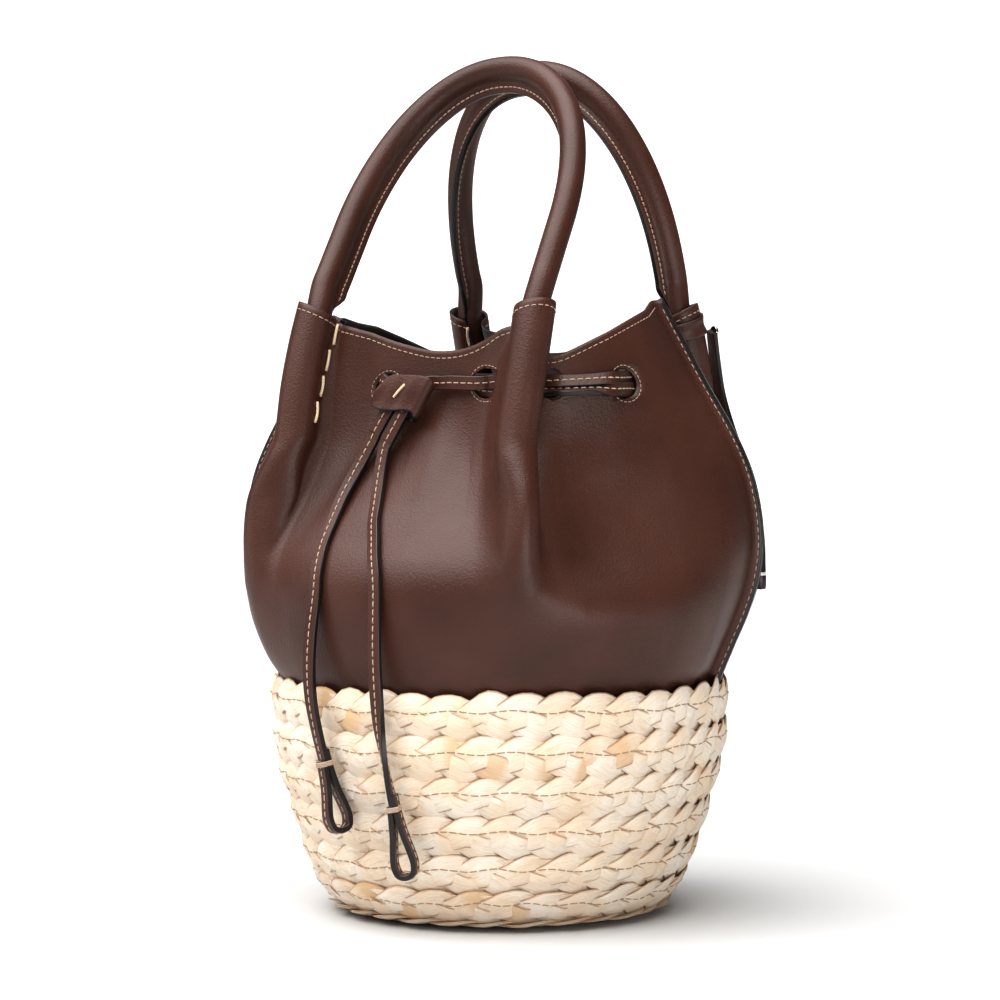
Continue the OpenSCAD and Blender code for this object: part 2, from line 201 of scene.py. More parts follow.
def lathe(profile, n=96):
    """Points and faces of [radius, height] points turned about the upright axis."""
    profile = np.array(profile, float)
    turn = np.linspace(0, 360, n, endpoint=False)
    verts = np.concatenate([polar(a, profile[:, 0], profile[:, 1]) for a in turn])
    return verts, grid_faces(n, len(profile), closed=True)


def add_modifier(piece, kind, **settings):
    modifier = piece.modifiers.new(kind.lower(), kind)
    for key, value in settings.items():
        setattr(modifier, key, value)


def apply_modifiers(piece):
    graph = bpy.context.evaluated_depsgraph_get()
    mesh = bpy.data.meshes.new_from_object(piece.evaluated_get(graph), depsgraph=graph)
    piece.modifiers.clear()
    piece.data = mesh


def fasten(piece, body, slot, *cad_nodes):
    """Puts a piece on its body, in place of the CAD nodes that it stands for; the slot is not used."""
    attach(piece, body)
    if cad_nodes:
        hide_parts(*cad_nodes)


def stitches(line, normals, pitch, length, radius):
    """Points and faces of short threads along a line, each sunk at both ends."""
    total = length_of(line)
    count = max(1, int(total / pitch))
    s = distances(line)
    n = across(normals, line)
    bend = np.array([-0.7, 0.15, 0.45, 0.15, -0.7]) * radius
    parts = []
    for i in range(count):
        middle = total * (i + 0.5) / count
        at = np.clip(middle + length * np.array([-0.5, -0.34, 0, 0.34, 0.5]), 0, total)
        normal = unit(read_at(at, s, n))
        parts.append(sweep(read_at(at, s, line) + normal * bend[:, None], normal, circle(radius, 6)))
    return join_parts(parts)


# ---------------------------------------------------------------- materials

def shader(name, **values):
    """A material and its nodes; the values are set on the shader's own sockets."""
    mat = bpy.data.materials.new(name)
    mat.use_nodes = True
    tree = mat.node_tree
    bsdf = tree.nodes["Principled BSDF"]
    for key, value in values.items():
        bsdf.inputs[key.replace("_", " ")].default_value = value
    return mat, tree, bsdf


def node(tree, kind, inputs=None, **settings):
    made = tree.nodes.new("ShaderNode" + kind)
    for key, value in settings.items():
        setattr(made, key, value)
    for key, value in (inputs or {}).items():
        if isinstance(value, bpy.types.NodeSocket):
            tree.links.new(value, made.inputs[key])
        else:
            made.inputs[key].default_value = value
    return made


def ramp(tree, source, stops):
    made = node(tree, "ValToRGB", {"Fac": source})
    elements = made.color_ramp.elements
    while len(elements) < len(stops):
        elements.new(0.5)
    for element, (place, color) in zip(elements, stops):
        element.position = place
        element.color = (*color, 1)
    return made.outputs["Color"]


def bump(tree, height, strength, distance, normal=None):
    inputs = {"Height": height, "Strength": strength, "Distance": distance}
    if normal is not None:
        inputs["Normal"] = normal
    return node(tree, "Bump", inputs).outputs["Normal"]


def object_coords(tree):
    return node(tree, "TexCoord").outputs["Object"]


def noise(tree, coords, scale, detail=3.0, roughness=0.5):
    inputs = {"Vector": coords, "Scale": scale, "Detail": detail, "Roughness": roughness}
    return node(tree, "TexNoise", inputs).outputs["Fac"]


def set_color(tree, bsdf, source, dark, light, start=0.3, end=0.7):
    """The colour goes from dark to light as the source goes from start to end."""
    tree.links.new(ramp(tree, source, [(start, dark), (end, light)]), bsdf.inputs["Base Color"])


def set_roughness(tree, bsdf, source, low, high):
    spread = node(tree, "MapRange", {"Value": source, "To Min": low, "To Max": high})
    tree.links.new(spread.outputs["Result"], bsdf.inputs["Roughness"])


def leather(name, dark, light, roughness):
    """Smooth leather with a fine pebbled grain, faint creases and slow changes of colour and gloss."""
    mat, tree, bsdf = shader(name, Specular_IOR_Level=0.36, Coat_Weight=0.05, Coat_Roughness=0.3)
    coords = object_coords(tree)
    set_color(tree, bsdf, noise(tree, coords, 22, 4), dark, light)
    set_roughness(tree, bsdf, noise(tree, coords, 70, 5), roughness - 0.05, roughness + 0.07)
    cells = node(tree, "TexVoronoi", {"Vector": coords, "Scale": 1150.0}, feature="SMOOTH_F1")
    pebbles = bump(tree, cells.outputs["Distance"], 0.5, 0.0003)
    creases = bump(tree, noise(tree, coords, 640, 4, 0.5), 0.10, 0.0004, pebbles)
    tree.links.new(creases, bsdf.inputs["Normal"])
    return mat


def painted_edge():
    """The thick black paint on the cut edges of the leather."""
    mat, tree, bsdf = shader("edge_paint", Specular_IOR_Level=0.5)
    coords = object_coords(tree)
    set_color(tree, bsdf, noise(tree, coords, 90), (0.006, 0.005, 0.005), (0.016, 0.013, 0.012))
    set_roughness(tree, bsdf, noise(tree, coords, 300), 0.28, 0.42)
    tree.links.new(bump(tree, noise(tree, coords, 500), 0.2, 0.0003), bsdf.inputs["Normal"])
    return mat


def suede():
    """The fuzzy flesh side of the leather, inside the bag."""
    mat, tree, bsdf = shader("leather_inside", Specular_IOR_Level=0.25, Sheen_Weight=0.25,
                             Sheen_Roughness=0.6)
    coords = object_coords(tree)
    set_color(tree, bsdf, noise(tree, coords, 260, 6, 0.7), (0.020, 0.010, 0.008), (0.045, 0.023, 0.017))
    set_roughness(tree, bsdf, noise(tree, coords, 800), 0.8, 0.95)
    tree.links.new(bump(tree, noise(tree, coords, 1500, 5, 0.7), 0.5, 0.0004), bsdf.inputs["Normal"])
    return mat


def thread(name, dark, light):
    """Waxed twisted thread."""
    mat, tree, bsdf = shader(name, Specular_IOR_Level=0.35, Sheen_Weight=0.15)
    coords = object_coords(tree)
    twist = node(tree, "TexWave", {"Vector": coords, "Scale": 700.0, "Distortion": 2.0},
                 bands_direction="DIAGONAL")
    set_color(tree, bsdf, twist.outputs["Fac"], dark, light, 0.2, 0.8)
    set_roughness(tree, bsdf, noise(tree, coords, 900), 0.45, 0.7)
    tree.links.new(bump(tree, twist.outputs["Fac"], 0.4, 0.0002), bsdf.inputs["Normal"])
    return mat


def mix(tree, share, first, second, how="MIX"):
    made = node(tree, "MixRGB", {"Fac": share, "Color1": first, "Color2": second}, blend_type=how)
    return made.outputs["Color"]


def straw():
    """Flattened raffia: fine streaks along each strand, a tone of its own and painted shade along its edges.
    """
    mat, tree, bsdf = shader("raffia", Specular_IOR_Level=0.35, Sheen_Weight=0.08)
    fibre = node(tree, "Attribute", attribute_name="fibre")
    stretched = node(tree, "Mapping", {"Vector": fibre.outputs["Vector"], "Scale": (0.05, 1.0, 1.0)})
    streaks = noise(tree, stretched.outputs["Vector"], 2.6, 7, 0.62)
    fine = noise(tree, stretched.outputs["Vector"], 9.0, 4, 0.6)
    blotches = noise(tree, object_coords(tree), 55, 3)
    pale = ramp(tree, streaks, [(0.28, (0.66, 0.50, 0.36)), (0.42, (0.79, 0.69, 0.57)),
                                (0.62, (0.85, 0.79, 0.71))])
    warm = ramp(tree, blotches, [(0.40, (0.94, 0.81, 0.66)), (0.58, (1.0, 1.0, 1.0))])
    tone = node(tree, "Attribute", attribute_name="tone")
    toned = mix(tree, tone.outputs["Fac"], mix(tree, 0.55, pale, warm, "MULTIPLY"), (0.62, 0.36, 0.14, 1))
    # Painted shade: the colour turns brown at both edges of each strand, where the strands tuck under each
    # other
    rim = node(tree, "Attribute", attribute_name="rim")
    edge_shade_amount = node(tree, "MapRange", {"Value": rim.outputs["Fac"], "From Min": 0.86, "From Max": 1.0,
                                         "To Min": 0.0, "To Max": 0.85})
    edge_shaded = mix(tree, edge_shade_amount.outputs["Result"], toned, (0.42, 0.20, 0.075, 1))
    tree.links.new(edge_shaded, bsdf.inputs["Base Color"])
    set_roughness(tree, bsdf, streaks, 0.5, 0.72)
    ridges = bump(tree, fine, 0.35, 0.0003)
    tree.links.new(bump(tree, streaks, 0.6, 0.0009, ridges), bsdf.inputs["Normal"])
    return mat


def cloth(name, dark, light, scale):
    """Plain-woven cotton."""
    mat, tree, bsdf = shader(name, Specular_IOR_Level=0.2, Sheen_Weight=0.2)
    coords = object_coords(tree)
    threads = [node(tree, "TexWave", {"Vector": coords, "Scale": scale}, bands_direction=way).outputs["Color"]
               for way in "XZ"]
    set_color(tree, bsdf, noise(tree, coords, 130, 5), dark, light)
    set_roughness(tree, bsdf, noise(tree, coords, 400), 0.78, 0.92)
    tree.links.new(bump(tree, mix(tree, 0.5, *threads, "ADD"), 0.35, 0.0003), bsdf.inputs["Normal"])
    return mat


def metal():
    """Bright polished stud with faint scratches."""
    mat, tree, bsdf = shader("polished_metal", Metallic=1.0)
    coords = object_coords(tree)
    set_color(tree, bsdf, noise(tree, coords, 200), (0.70, 0.66, 0.60), (0.85, 0.82, 0.77))
    set_roughness(tree, bsdf, noise(tree, coords, 900), 0.12, 0.28)
    return mat


def satin(name, dark, light, roughness):
    """Satin plastic or stiff board, with a slight mottle."""
    mat, tree, bsdf = shader(name, Specular_IOR_Level=0.45)
    coords = object_coords(tree)
    set_color(tree, bsdf, noise(tree, coords, 240), dark, light)
    set_roughness(tree, bsdf, noise(tree, coords, 500), roughness - 0.05, roughness + 0.08)
    return mat


LEATHER = leather("brown_leather", (0.052, 0.0180, 0.0108), (0.078, 0.0285, 0.0178), 0.42)
EDGE = painted_edge()
INSIDE = suede()
THREAD = thread("cream_thread", (0.34, 0.24, 0.17), (0.56, 0.43, 0.33))
HAND_THREAD = thread("hand_thread", (0.62, 0.45, 0.28), (0.84, 0.69, 0.48))
STRAW = straw()
STRAW_THREAD = thread("basket_thread", (0.25, 0.15, 0.08), (0.50, 0.36, 0.22))
COTTON = cloth("cotton_lining", (0.50, 0.42, 0.31), (0.66, 0.57, 0.44), 520.0)
CORE = cloth("cord_core", (0.55, 0.48, 0.38), (0.70, 0.62, 0.50), 900.0)
BOARD = satin("base_board", (0.30, 0.24, 0.17), (0.40, 0.33, 0.24), 0.7)
METAL = metal()
TIP_DARK = satin("tip_dark", (0.018, 0.010, 0.012), (0.035, 0.016, 0.018), 0.3)
TIP_PALE = satin("tip_pale", (0.70, 0.68, 0.64), (0.80, 0.78, 0.74), 0.35)


# ---------------------------------------------------------------- camera, light and floor

def camera():
    """A long lens a little above the middle of the bag, looking at its front from the right."""
    distance, turn = 1.584, math.radians(35)
    data = bpy.data.cameras.new("camera")
    data.sensor_width = 36
    data.lens = 118.8
    cam = bpy.data.objects.new("camera", data)
    bpy.context.collection.objects.link(cam)
    cam.location = (distance * math.sin(turn), -distance * math.cos(turn), 0.254)
    aim(cam, (0, 0, 0.196))
    bpy.context.scene.camera = cam


def aim(thing, target):
    away = Vector(target) - Vector(thing.location)
    thing.rotation_euler = away.to_track_quat("-Z", "Y").to_euler()


def area_light(name, place, size, power, target=(0, 0, 0.2)):
    data = bpy.data.lights.new(name, "AREA")
    data.shape = "RECTANGLE"
    data.size, data.size_y = size
    data.energy = power
    light = bpy.data.objects.new(name, data)
    bpy.context.collection.objects.link(light)
    light.location = place
    aim(light, target)


def glow(tree, toward, spread, strength):
    """Light from round one direction; both pairs go from the rim of the glow to its middle."""
    look = node(tree, "TexCoord").outputs["Generated"]
    facing = node(tree, "VectorMath", {0: look, 1: toward}, operation="DOT_PRODUCT").outputs["Value"]
    made = node(tree, "MapRange", {"Value": facing, "From Min": spread[0], "From Max": spread[1],
                                   "To Min": strength[0], "To Max": strength[1]},
                interpolation_type="SMOOTHSTEP")
    return made.outputs["Result"]


def studio_sky():
    """A wide soft light overhead, tilted to the front and a little to the left, and a white sweep behind."""
    world = bpy.data.worlds.new("studio")
    world.use_nodes = True
    tree = world.node_tree
    overhead = glow(tree, (-0.13, -0.31, 0.942), (0.6, 0.95), (0.12, 6))
    behind = glow(tree, (-0.574, 0.819, 0), (0.84, 0.97), (0, 1.3))
    total = node(tree, "Math", {0: overhead, 1: behind}, operation="ADD")
    background = tree.nodes["Background"]
    background.inputs["Color"].default_value = (1, 1, 1, 1)
    tree.links.new(total.outputs["Value"], background.inputs["Strength"])
    bpy.context.scene.world = world
    view = bpy.context.scene.view_settings
    view.view_transform = "Standard"
    view.gamma = 0.82          # more contrast in the whole picture than the neutral 1


def studio():
    studio_sky()
    area_light("left_strip", (-1.3, -0.9, 0.6), (0.3, 1.0), 3)
    area_light("low_right", (0.9, -0.5, 0.16), (0.8, 0.24), 3.6, (0, 0, 0.06))
    size = 4000
    corners = [(-size, -size, 0), (size, -size, 0), (size, size, 0), (-size, size, 0)]
    mat, tree, bsdf = shader("pale_floor", Specular_IOR_Level=0.2, Roughness=0.7)
    set_color(tree, bsdf, noise(tree, object_coords(tree), 3), (0.53, 0.53, 0.53), (0.55, 0.55, 0.55))
    floor = new_piece("floor", corners, [(0, 1, 2, 3)], [mat])


camera()
studio()


# ---------------------------------------------------------------- shape of the leather upper

SEAM = 20                  # angle of the right side seam; the left one is opposite
LEATHER_T = 2.2
PANEL_LOW = 103            # lowest edge of the leather, inside the rim of the basket

# Outlines of the leather between the pleats, [height, radius]
AT_PLEAT = [[102, 101], [110, 104], [122, 112], [138, 118.5], [150, 120.8], [160, 120.5], [180, 114],
            [194, 108], [206, 102], [216, 96.5], [226, 91.5], [252, 84.4], [296, 72.4]]
AT_POCKET = [[102, 101], [110, 104], [122, 110.5], [134, 117], [143, 120.5], [150, 120.5], [157, 117.5],
             [165, 111.5], [175, 104], [187, 97.5], [200, 93.5], [216, 91.5], [236, 91.5], [252, 92.5],
             [296, 79]]
AT_SIDE = [[102, 101], [110, 104], [122, 112], [140, 119], [160, 123.5], [180, 124], [205, 117],
           [228, 105], [252, 95], [296, 77]]
AT_SEAM = [[102, 101], [110, 102], [130, 110], [144, 116], [160, 121], [180, 123], [206, 119],
           [226, 111], [252, 96], [296, 72]]
AT_QUARTER = [[102, 101], [110, 104], [122, 109.5], [135, 112.5], [150, 114], [162, 113.2], [172, 109.5],
              [183, 102], [200, 89], [225, 75], [252, 68], [296, 64]]
AT_MIDDLE = [[102, 101], [110, 104], [122, 107.5], [135, 109.5], [150, 110.5], [161, 109.5], [171, 105.5],
             [182, 97.5], [200, 84], [225, 69], [252, 60.5], [296, 57]]
# Where round half of the bag each outline holds, [angle, outline]
STATIONS = [[-48, AT_PLEAT], [-26, AT_POCKET], [0, AT_SIDE], [20, AT_SEAM], [48, AT_PLEAT], [63, AT_QUARTER],
            [90, AT_MIDDLE], [117, AT_QUARTER], [132, AT_PLEAT]]
# The top edge of half of the bag, [angle, height]
TOP_EDGE = [[-48, 279], [-43.5, 270], [-39.5, 265.2], [-35, 265.2], [-29, 269], [-21, 274.8], [-11, 281],
            [0, 285.5], [20, 291.5], [34, 287], [48, 282], [58, 277.2], [68, 272.8], [80, 269.5], [92, 267.4],
            [104, 267.2], [114, 269], [122, 273], [127, 277], [132, 279]]
LEFT_CORNER_DROP = 7.5     # the left corner of the mouth hangs lower than the right one

# The pleats that hold the handles, [height, value]: a closed sleeve above, a soft ridge below
PLEAT_OUT = [[104, 0.25], [140, 0.8], [150, 1.8], [160, 4.2], [170, 8], [180, 12], [194, 17], [206, 20.3],
             [216, 21.8], [226, 22.3], [296, 22.3]]
# Half of its width on the sewn side, the right, and on the other side, where it swings out softly
PLEAT_RIGHT = [[104, 21], [140, 24], [150, 23], [160, 20], [170, 16.5], [180, 13.5], [194, 10.5], [206, 8.6],
               [216, 6.6], [226, 5.2], [252, 4.8], [296, 4.8]]
PLEAT_LEFT = [[104, 22], [140, 25], [160, 25], [170, 24], [180, 22.5], [194, 20], [206, 17.5], [216, 16.5],
              [226, 16], [240, 15.5], [258, 14], [274, 9], [296, 5]]
# Radius of its round back
TUBE = [[104, 60], [150, 30], [170, 13], [180, 10], [194, 9.5], [226, 9.65], [296, 9.65]]
PLEAT_ZONE = 14.5          # half of the angle that a pleat takes up
RIM_Z = 284.0              # about where the top edge is read off

# Soft folds: [angle, height, angle, height, half width, how far it stands out]
FOLDS = [[-104, 244, -112, 196, 7, 1.6], [-92, 236, -96, 186, 6, -1.6], [-80, 240, -78, 184, 8, 1.8],
         [-68, 244, -66, 190, 6, -1.8], [-148, 236, -156, 184, 9, 2.0], [-136, 214, -146, 168, 8, -1.8],
         [-12, 236, -30, 200, 9, 1.8], [14, 232, 2, 182, 9, -1.6], [34, 226, 30, 178, 9, 1.8],
         [76, 244, 70, 190, 7, -1.8], [92, 238, 96, 184, 8, 1.8], [108, 244, 112, 188, 7, -1.6],
         [160, 234, 150, 190, 9, 1.8], [176, 230, 184, 180, 9, -1.6]]


def half_angle(angle):
    return angle - 180 * np.floor((angle + 48) / 180)


def folds(angle, z):
    total = 0 * z
    for a0, z0, a1, z1, half, out in FOLDS:
        t = (z - z0) / (z1 - z0)
        off = (angle - a0 - (a1 - a0) * t + 180) % 360 - 180
        along = np.exp(-((t - 0.5) / 0.42)**2)
        total = total + out * along * np.exp(-(off * 1.7 / half)**2)
    return total


def base_radius(angle, z):
    """Outer radius of the leather between the pleats."""
    angle, z = np.broadcast_arrays(np.asarray(angle, float), np.asarray(z, float))
    b = half_angle(angle)
    places = [STATIONS[-2][0] - 180] + [s[0] for s in STATIONS] + [STATIONS[1][0] + 180]
    outlines = [STATIONS[-2][1]] + [s[1] for s in STATIONS] + [STATIONS[1][1]]
    places = np.array(places, float)
    rings = np.stack([curve(z, outline) for outline in outlines])
    i = np.clip(np.searchsorted(places, b, side="right") - 1, 1, len(places) - 3)

    def pick(k):
        return np.take_along_axis(rings, k[None], axis=0)[0]

    def slope(k):
        return (pick(k + 1) - pick(k - 1)) / (places[k + 1] - places[k - 1])

    h = places[i + 1] - places[i]
    plain = hermite((b - places[i]) / h, h, pick(i), pick(i + 1), slope(i), slope(i + 1))
    return plain + folds(angle, z)


def pleat_angle(z):
    """Angle of the back right pleat from +X; the four pleats mirror each other."""
    drop = 290 - np.maximum(z, 226)
    return np.degrees(np.arctan2(60 + 0.331 * drop, 61.5 + 0.066 * drop))


def top_edge(angle):
    from_left = (np.asarray(angle, float) - SEAM) % 360 - 180
    return curve(half_angle(angle), TOP_EDGE) - LEFT_CORNER_DROP * np.exp(-(from_left / 25)**2)


def pleat_half(s, z):
    return curve(z, PLEAT_RIGHT if s > 0 else PLEAT_LEFT)


def pleat_offset(s, z, reach):
    """For s from -1 to 1 over a pleat: the distance along the leather, out of it, and round the sleeve."""
    out, half = curve(z, PLEAT_OUT), pleat_half(s, z)
    both = (half**2 + out**2) / (2 * out)
    round_r = np.minimum(curve(z, TUBE), 0.86 * both)
    fillet_r = both - round_r
    centre = out - round_r
    meet = np.arctan2(centre - fillet_r, -half) % (2 * np.pi)
    a = abs(s)
    if a > 0.6:
        return np.sign(s) * (half + (reach - half) * (a - 0.6) / 0.4), 0 * z, 180.0
    if a > 0.4:
        turn = 1.5 * np.pi + (meet - 1.5 * np.pi) * (0.6 - a) / 0.2
        return np.sign(s) * (half + fillet_r * np.cos(turn)), fillet_r * (1 + np.sin(turn)), 180.0
    start = meet - np.pi
    turn = start + (np.pi / 2 - start) * (0.4 - a) / 0.4
    return np.sign(s) * round_r * np.cos(turn), centre + round_r * np.sin(turn), 90 - np.degrees(turn)


def pleat_middle(quarter, z):
    """Angle of the middle of pleat 0 to 3, counted from the back right one round to the front right one."""
    mirrored = quarter % 2 == 1
    return 180 * ((quarter + 1) // 2) + (-pleat_angle(z) if mirrored else pleat_angle(z))


def pleat_point(quarter, s, z):
    """A place on a pleat, s from -1 to 1 across it."""
    z = np.asarray(z, float)
    middle = pleat_middle(quarter, z)
    r = base_radius(middle, z)
    reach = np.radians(PLEAT_ZONE) * r
    along, out, _ = pleat_offset(s, z, reach)
    angle = middle + np.degrees(along / r)
    closed = smooth((z - 196) / 26) * smooth((0.58 - abs(s)) / 0.2)
    under = base_radius(angle, z)
    return polar(angle, under + (r - under) * closed, z) + polar(middle, out, 0 * z)


def pleat_top(quarter, s):
    """Height of the top edge at a place on a pleat: the hem of the panel, or the rim of the sleeve."""
    z = np.array(RIM_Z)
    middle = pleat_middle(quarter, z)
    half = float(pleat_half(s, z))
    reach = math.radians(PLEAT_ZONE) * float(base_radius(middle, z))
    a = abs(s)
    along = half + (reach - half) * max(0, a - 0.6) / 0.4
    hem = float(top_edge(middle + np.sign(s) * math.degrees(along / base_radius(middle, z))))
    around = float(pleat_offset(s, z, reach)[2])
    rim = 291 - 4 * (1 - math.cos(math.radians(min(around, 150))))
    return hem + (rim - hem) * float(smooth((0.6 - a) / 0.22))


SEAM_GAP = 2.35            # from the middle of a side seam to the face of a panel
SEAM_BEND = 8.0            # from the middle of a side seam to where a panel starts to turn outward


def seam_flare(z):
    """How far the edges of a side seam stand out of the leather."""
    return 5.2 * smooth((z - 100) / 12)


def seam_point(side, b, z):
    """The edge of a panel at a side seam: b = 0 on the bag, b = 1 at the free edge that stands out."""
    z = np.asarray(z, float)
    r = base_radius(side[0], z)
    turn = side[1] * np.degrees(np.arcsin(SEAM_BEND / r))
    start = base_radius(side[0] + turn, z)
    start_r = start * np.cos(np.radians(turn))
    level = (1 - b)**2 * start_r + 2 * b * (1 - b) * r + b**2 * (r + seam_flare(z))
    off = (1 - b)**2 * start * np.abs(np.sin(np.radians(turn))) + 2 * b * (1 - b) * SEAM_GAP + b**2 * SEAM_GAP
    return polar(side[0], level, z) + polar(side[0] + 90 * side[1], off, 0 * z)


def panel_columns(first_seam):
    """Every column of a panel, from seam to seam, as [place at a height, height of the top edge]."""
    second_seam = first_seam + 180
    first_pleat = 0 if first_seam == SEAM else 2
    columns = []

    def add_column(place):
        at = place(np.array(RIM_Z))
        columns.append([place, float(top_edge(math.degrees(math.atan2(at[1], at[0]))))])

    def seam(side, b):
        add_column(lambda z: seam_point(side, b, z))

    def pleat(quarter, s):
        columns.append([lambda z: pleat_point(quarter, s, z), pleat_top(quarter, s)])

    def plain(start, end, w):
        def place(z):
            a, b = start(z), end(z)
            angle = np.arctan2(a[..., 1], a[..., 0])
            span = (np.arctan2(b[..., 1], b[..., 0]) - angle + np.pi) % (2 * np.pi) - np.pi
            degrees = np.degrees(angle + span * w)
            return polar(degrees, base_radius(degrees, z), z)
        add_column(place)

    sides = [(first_seam, 1), (second_seam, -1)]
    pleat_s = np.concatenate([np.linspace(-1, -0.6, 8)[:-1], np.linspace(-0.6, -0.4, 9)[:-1],
                              np.linspace(-0.4, 0.4, 29),
                              np.linspace(0.4, 0.6, 9)[1:], np.linspace(0.6, 1, 8)[1:]])
    across_seam = [0, 0.125, 0.25, 0.375, 0.5, 0.625, 0.75, 0.89, 1]
    for b in across_seam[::-1]:
        seam(sides[0], b)
    ends = [(lambda z: seam_point(sides[0], 0, z), lambda z: pleat_point(first_pleat, -1, z), 3),
            (lambda z: pleat_point(first_pleat, 1, z), lambda z: pleat_point(first_pleat + 1, -1, z), 14),
            (lambda z: pleat_point(first_pleat + 1, 1, z), lambda z: seam_point(sides[1], 0, z), 3)]
    for k, (start, end, count) in enumerate(ends):
        for w in np.linspace(0, 1, count + 2)[1:-1]:
            plain(start, end, w)
        if k < 2:
            for s in pleat_s:
                pleat(first_pleat + k, s)
    for b in across_seam:
        seam(sides[1], b)
    return columns


def hole_cutter(angle, z):
    """A round bar through the leather at a drawstring hole."""
    r = float(base_radius(angle, z))
    line = polar(angle, np.array([r - 14, r + 5]), z)
    verts, faces = sweep(line, np.array([0, 0, 1.0]), circle(HOLE_R, 32))
    return new_piece("cutter", verts, faces, [EDGE])


# The drawstring holes of half the bag, [angle, height]; the other half is opposite
HOLES = [[-60.2, 252], [-40, 252], [-17, 252], [70.7, 249.5]]
HOLES += [[angle + 180, z] for angle, z in HOLES]
HOLE_R = 6.9


def make_panel(name, first_seam, replaced):
    columns = panel_columns(first_seam)
    rows = 92
    share = np.linspace(0, 1, rows)
    verts = np.concatenate([place(PANEL_LOW + (top - PANEL_LOW) * share) for place, top in columns])
    faces = grid_faces(len(columns), rows)
    # The black paint of the cut edges runs round on to the face along the side seams
    black_faces = np.repeat([1 if c in (0, len(columns) - 2) else 0 for c in range(len(columns) - 1)], rows - 1)
    panel = new_piece(name, verts, faces, [LEATHER, EDGE, INSIDE], black_faces)
    add_modifier(panel, "SOLIDIFY", thickness=LEATHER_T * MM, offset=-1, use_even_offset=True,
                 thickness_clamp=1.5, material_offset=2, material_offset_rim=1)
    cutters = []
    for angle, z in HOLES:
        if (angle - first_seam) % 360 < 180:
            cutter = hole_cutter(angle, z)
            cutters.append(cutter)
            add_modifier(panel, "BOOLEAN", operation="DIFFERENCE", object=cutter, solver="EXACT",
                         material_mode="TRANSFER")
    apply_modifiers(panel)
    for cutter in cutters:
        bpy.data.objects.remove(cutter)
    fasten(panel, "bag", "leather", *replaced)
    return columns


def hem_line(columns, depth):
    """A line this far below the top edge, with the normals of the leather."""
    line = np.array([place(np.array(top - depth)) for place, top in columns])
    above = np.array([place(np.array(top - depth + 1)) for place, top in columns])
    return line, unit(np.cross(tangents(line), above - line))


def surface_line(angles, heights):
    line = polar(angles, base_radius(angles, heights), heights)
    side = polar(angles + 0.5, base_radius(angles + 0.5, heights), heights) - line
    up = polar(angles, base_radius(angles, heights + 1), heights + 1) - line
    return line, unit(np.cross(side, up))


def make_upper():
    corners = {SEAM: ("sleeve_back_right", "sleeve_back_left"),
               SEAM + 180: ("sleeve_front_left", "sleeve_front_right")}
    parts = []
    for side, seam in (("back", SEAM), ("front", SEAM + 180)):
        columns = make_panel(f"{side}_leather", seam, [f"{side}_panel", *corners[seam]])
        line, normals = hem_line(columns[6:-6], 3.4)
        parts.append(stitches(line, normals, 3.2, 2.1, 0.26))
    for angle, z in HOLES:
        if abs(half_angle(angle) + 40) < 1:
            continue
        turn = np.linspace(0, 2 * np.pi, 40)
        r = float(base_radius(angle, z))
        ring = HOLE_R + 1.5
        line, normals = surface_line(angle + np.degrees(ring * np.cos(turn) / r), z + ring * np.sin(turn))
        parts.append(stitches(line, normals, 2.2, 1.4, 0.22))
    fasten(new_piece("hem_stitches", *join_parts(parts), [THREAD]), "bag", "thread")
    for name, seam in (("side_seam_right", SEAM), ("side_seam_left", SEAM + 180)):
        parts = []
        for turn in (1, -1):
            z = np.linspace(112, top_edge(seam) - 4, 90)
            line = seam_point((seam, turn), 0.80, z)
            beside = seam_point((seam, turn), 0.84, z)
            parts.append(stitches(line, turn * np.cross(tangents(line), beside - line), 3.6, 2.1, 0.26))
        fasten(new_piece(name + "_stitches", *join_parts(parts), [THREAD]), "bag", "thread", name)


def make_seam_edge(name, angle):
    """The painted edges of the two panels, pressed together between the rows of stitches of a side seam."""
    z = np.linspace(PANEL_LOW, float(top_edge(angle)) - 0.6, 90)
    out = seam_flare(z)
    line = polar(angle, base_radius(angle, z) - 1 + out / 2, z)
    t = 1.8                # half of the thickness of the two edges
    sections = np.stack([[[h, t], [-h, t], [-h, -t], [h, -t]] for h in 0.8 + out / 2])
    verts, faces = sweep(line, np.repeat([polar(angle, 1.0, 0)], len(line), axis=0), sections)
    fasten(new_piece(name, verts, faces, [EDGE]), "bag", "leather_edge")


make_seam_edge("side_seam_right_edge", SEAM)
make_seam_edge("side_seam_left_edge", SEAM + 180)


def make_sleeve_stitches():
    """Long hand stitches that close each sleeve."""
    parts = []
    for quarter in range(4):
        for k in range(4):
            z = np.linspace(-4.9, 4.9, 7) + 275 - 12.2 * k
            s = 0.50 - 0.05 * k
            line = pleat_point(quarter, s, z)
            beside = pleat_point(quarter, s + 0.02, z)
            normals = np.cross(beside - line, tangents(line))
            bow = 0.7 * np.sin(np.linspace(0, np.pi, 7))
            n = across(normals, line)
            parts.append(sweep(line + n * (bow[:, None] + 0.3), n, circle(0.72, 8)))
    piece = new_piece("sleeve_hand_stitches", *join_parts(parts), [HAND_THREAD])
    fasten(piece, "bag", "thread", "sleeve_stitches")


make_upper()
make_sleeve_stitches()


# ---------------------------------------------------------------- handles

TUBE_R, CORD_R = 6.2, 4.2
FLANGE_OUT, FLANGE_HALF = 5.4, 1.6
LEG_LOW = 285              # the rise of a handle is counted from this height
# turn is how far the flange turns towards the bag at the feet
HANDLES = {
    "front": dict(turn=58, wide=62.2, foot=63.2, y=-64, lean=34.9, straight=44.6, arch=100.6, power=2.10,
                  skew=-0.068),
    "back": dict(turn=76, wide=60.9, foot=60.3, y=65.7, lean=14.2, straight=22.9, arch=98.8, power=2.16,
                 skew=-0.045),
}


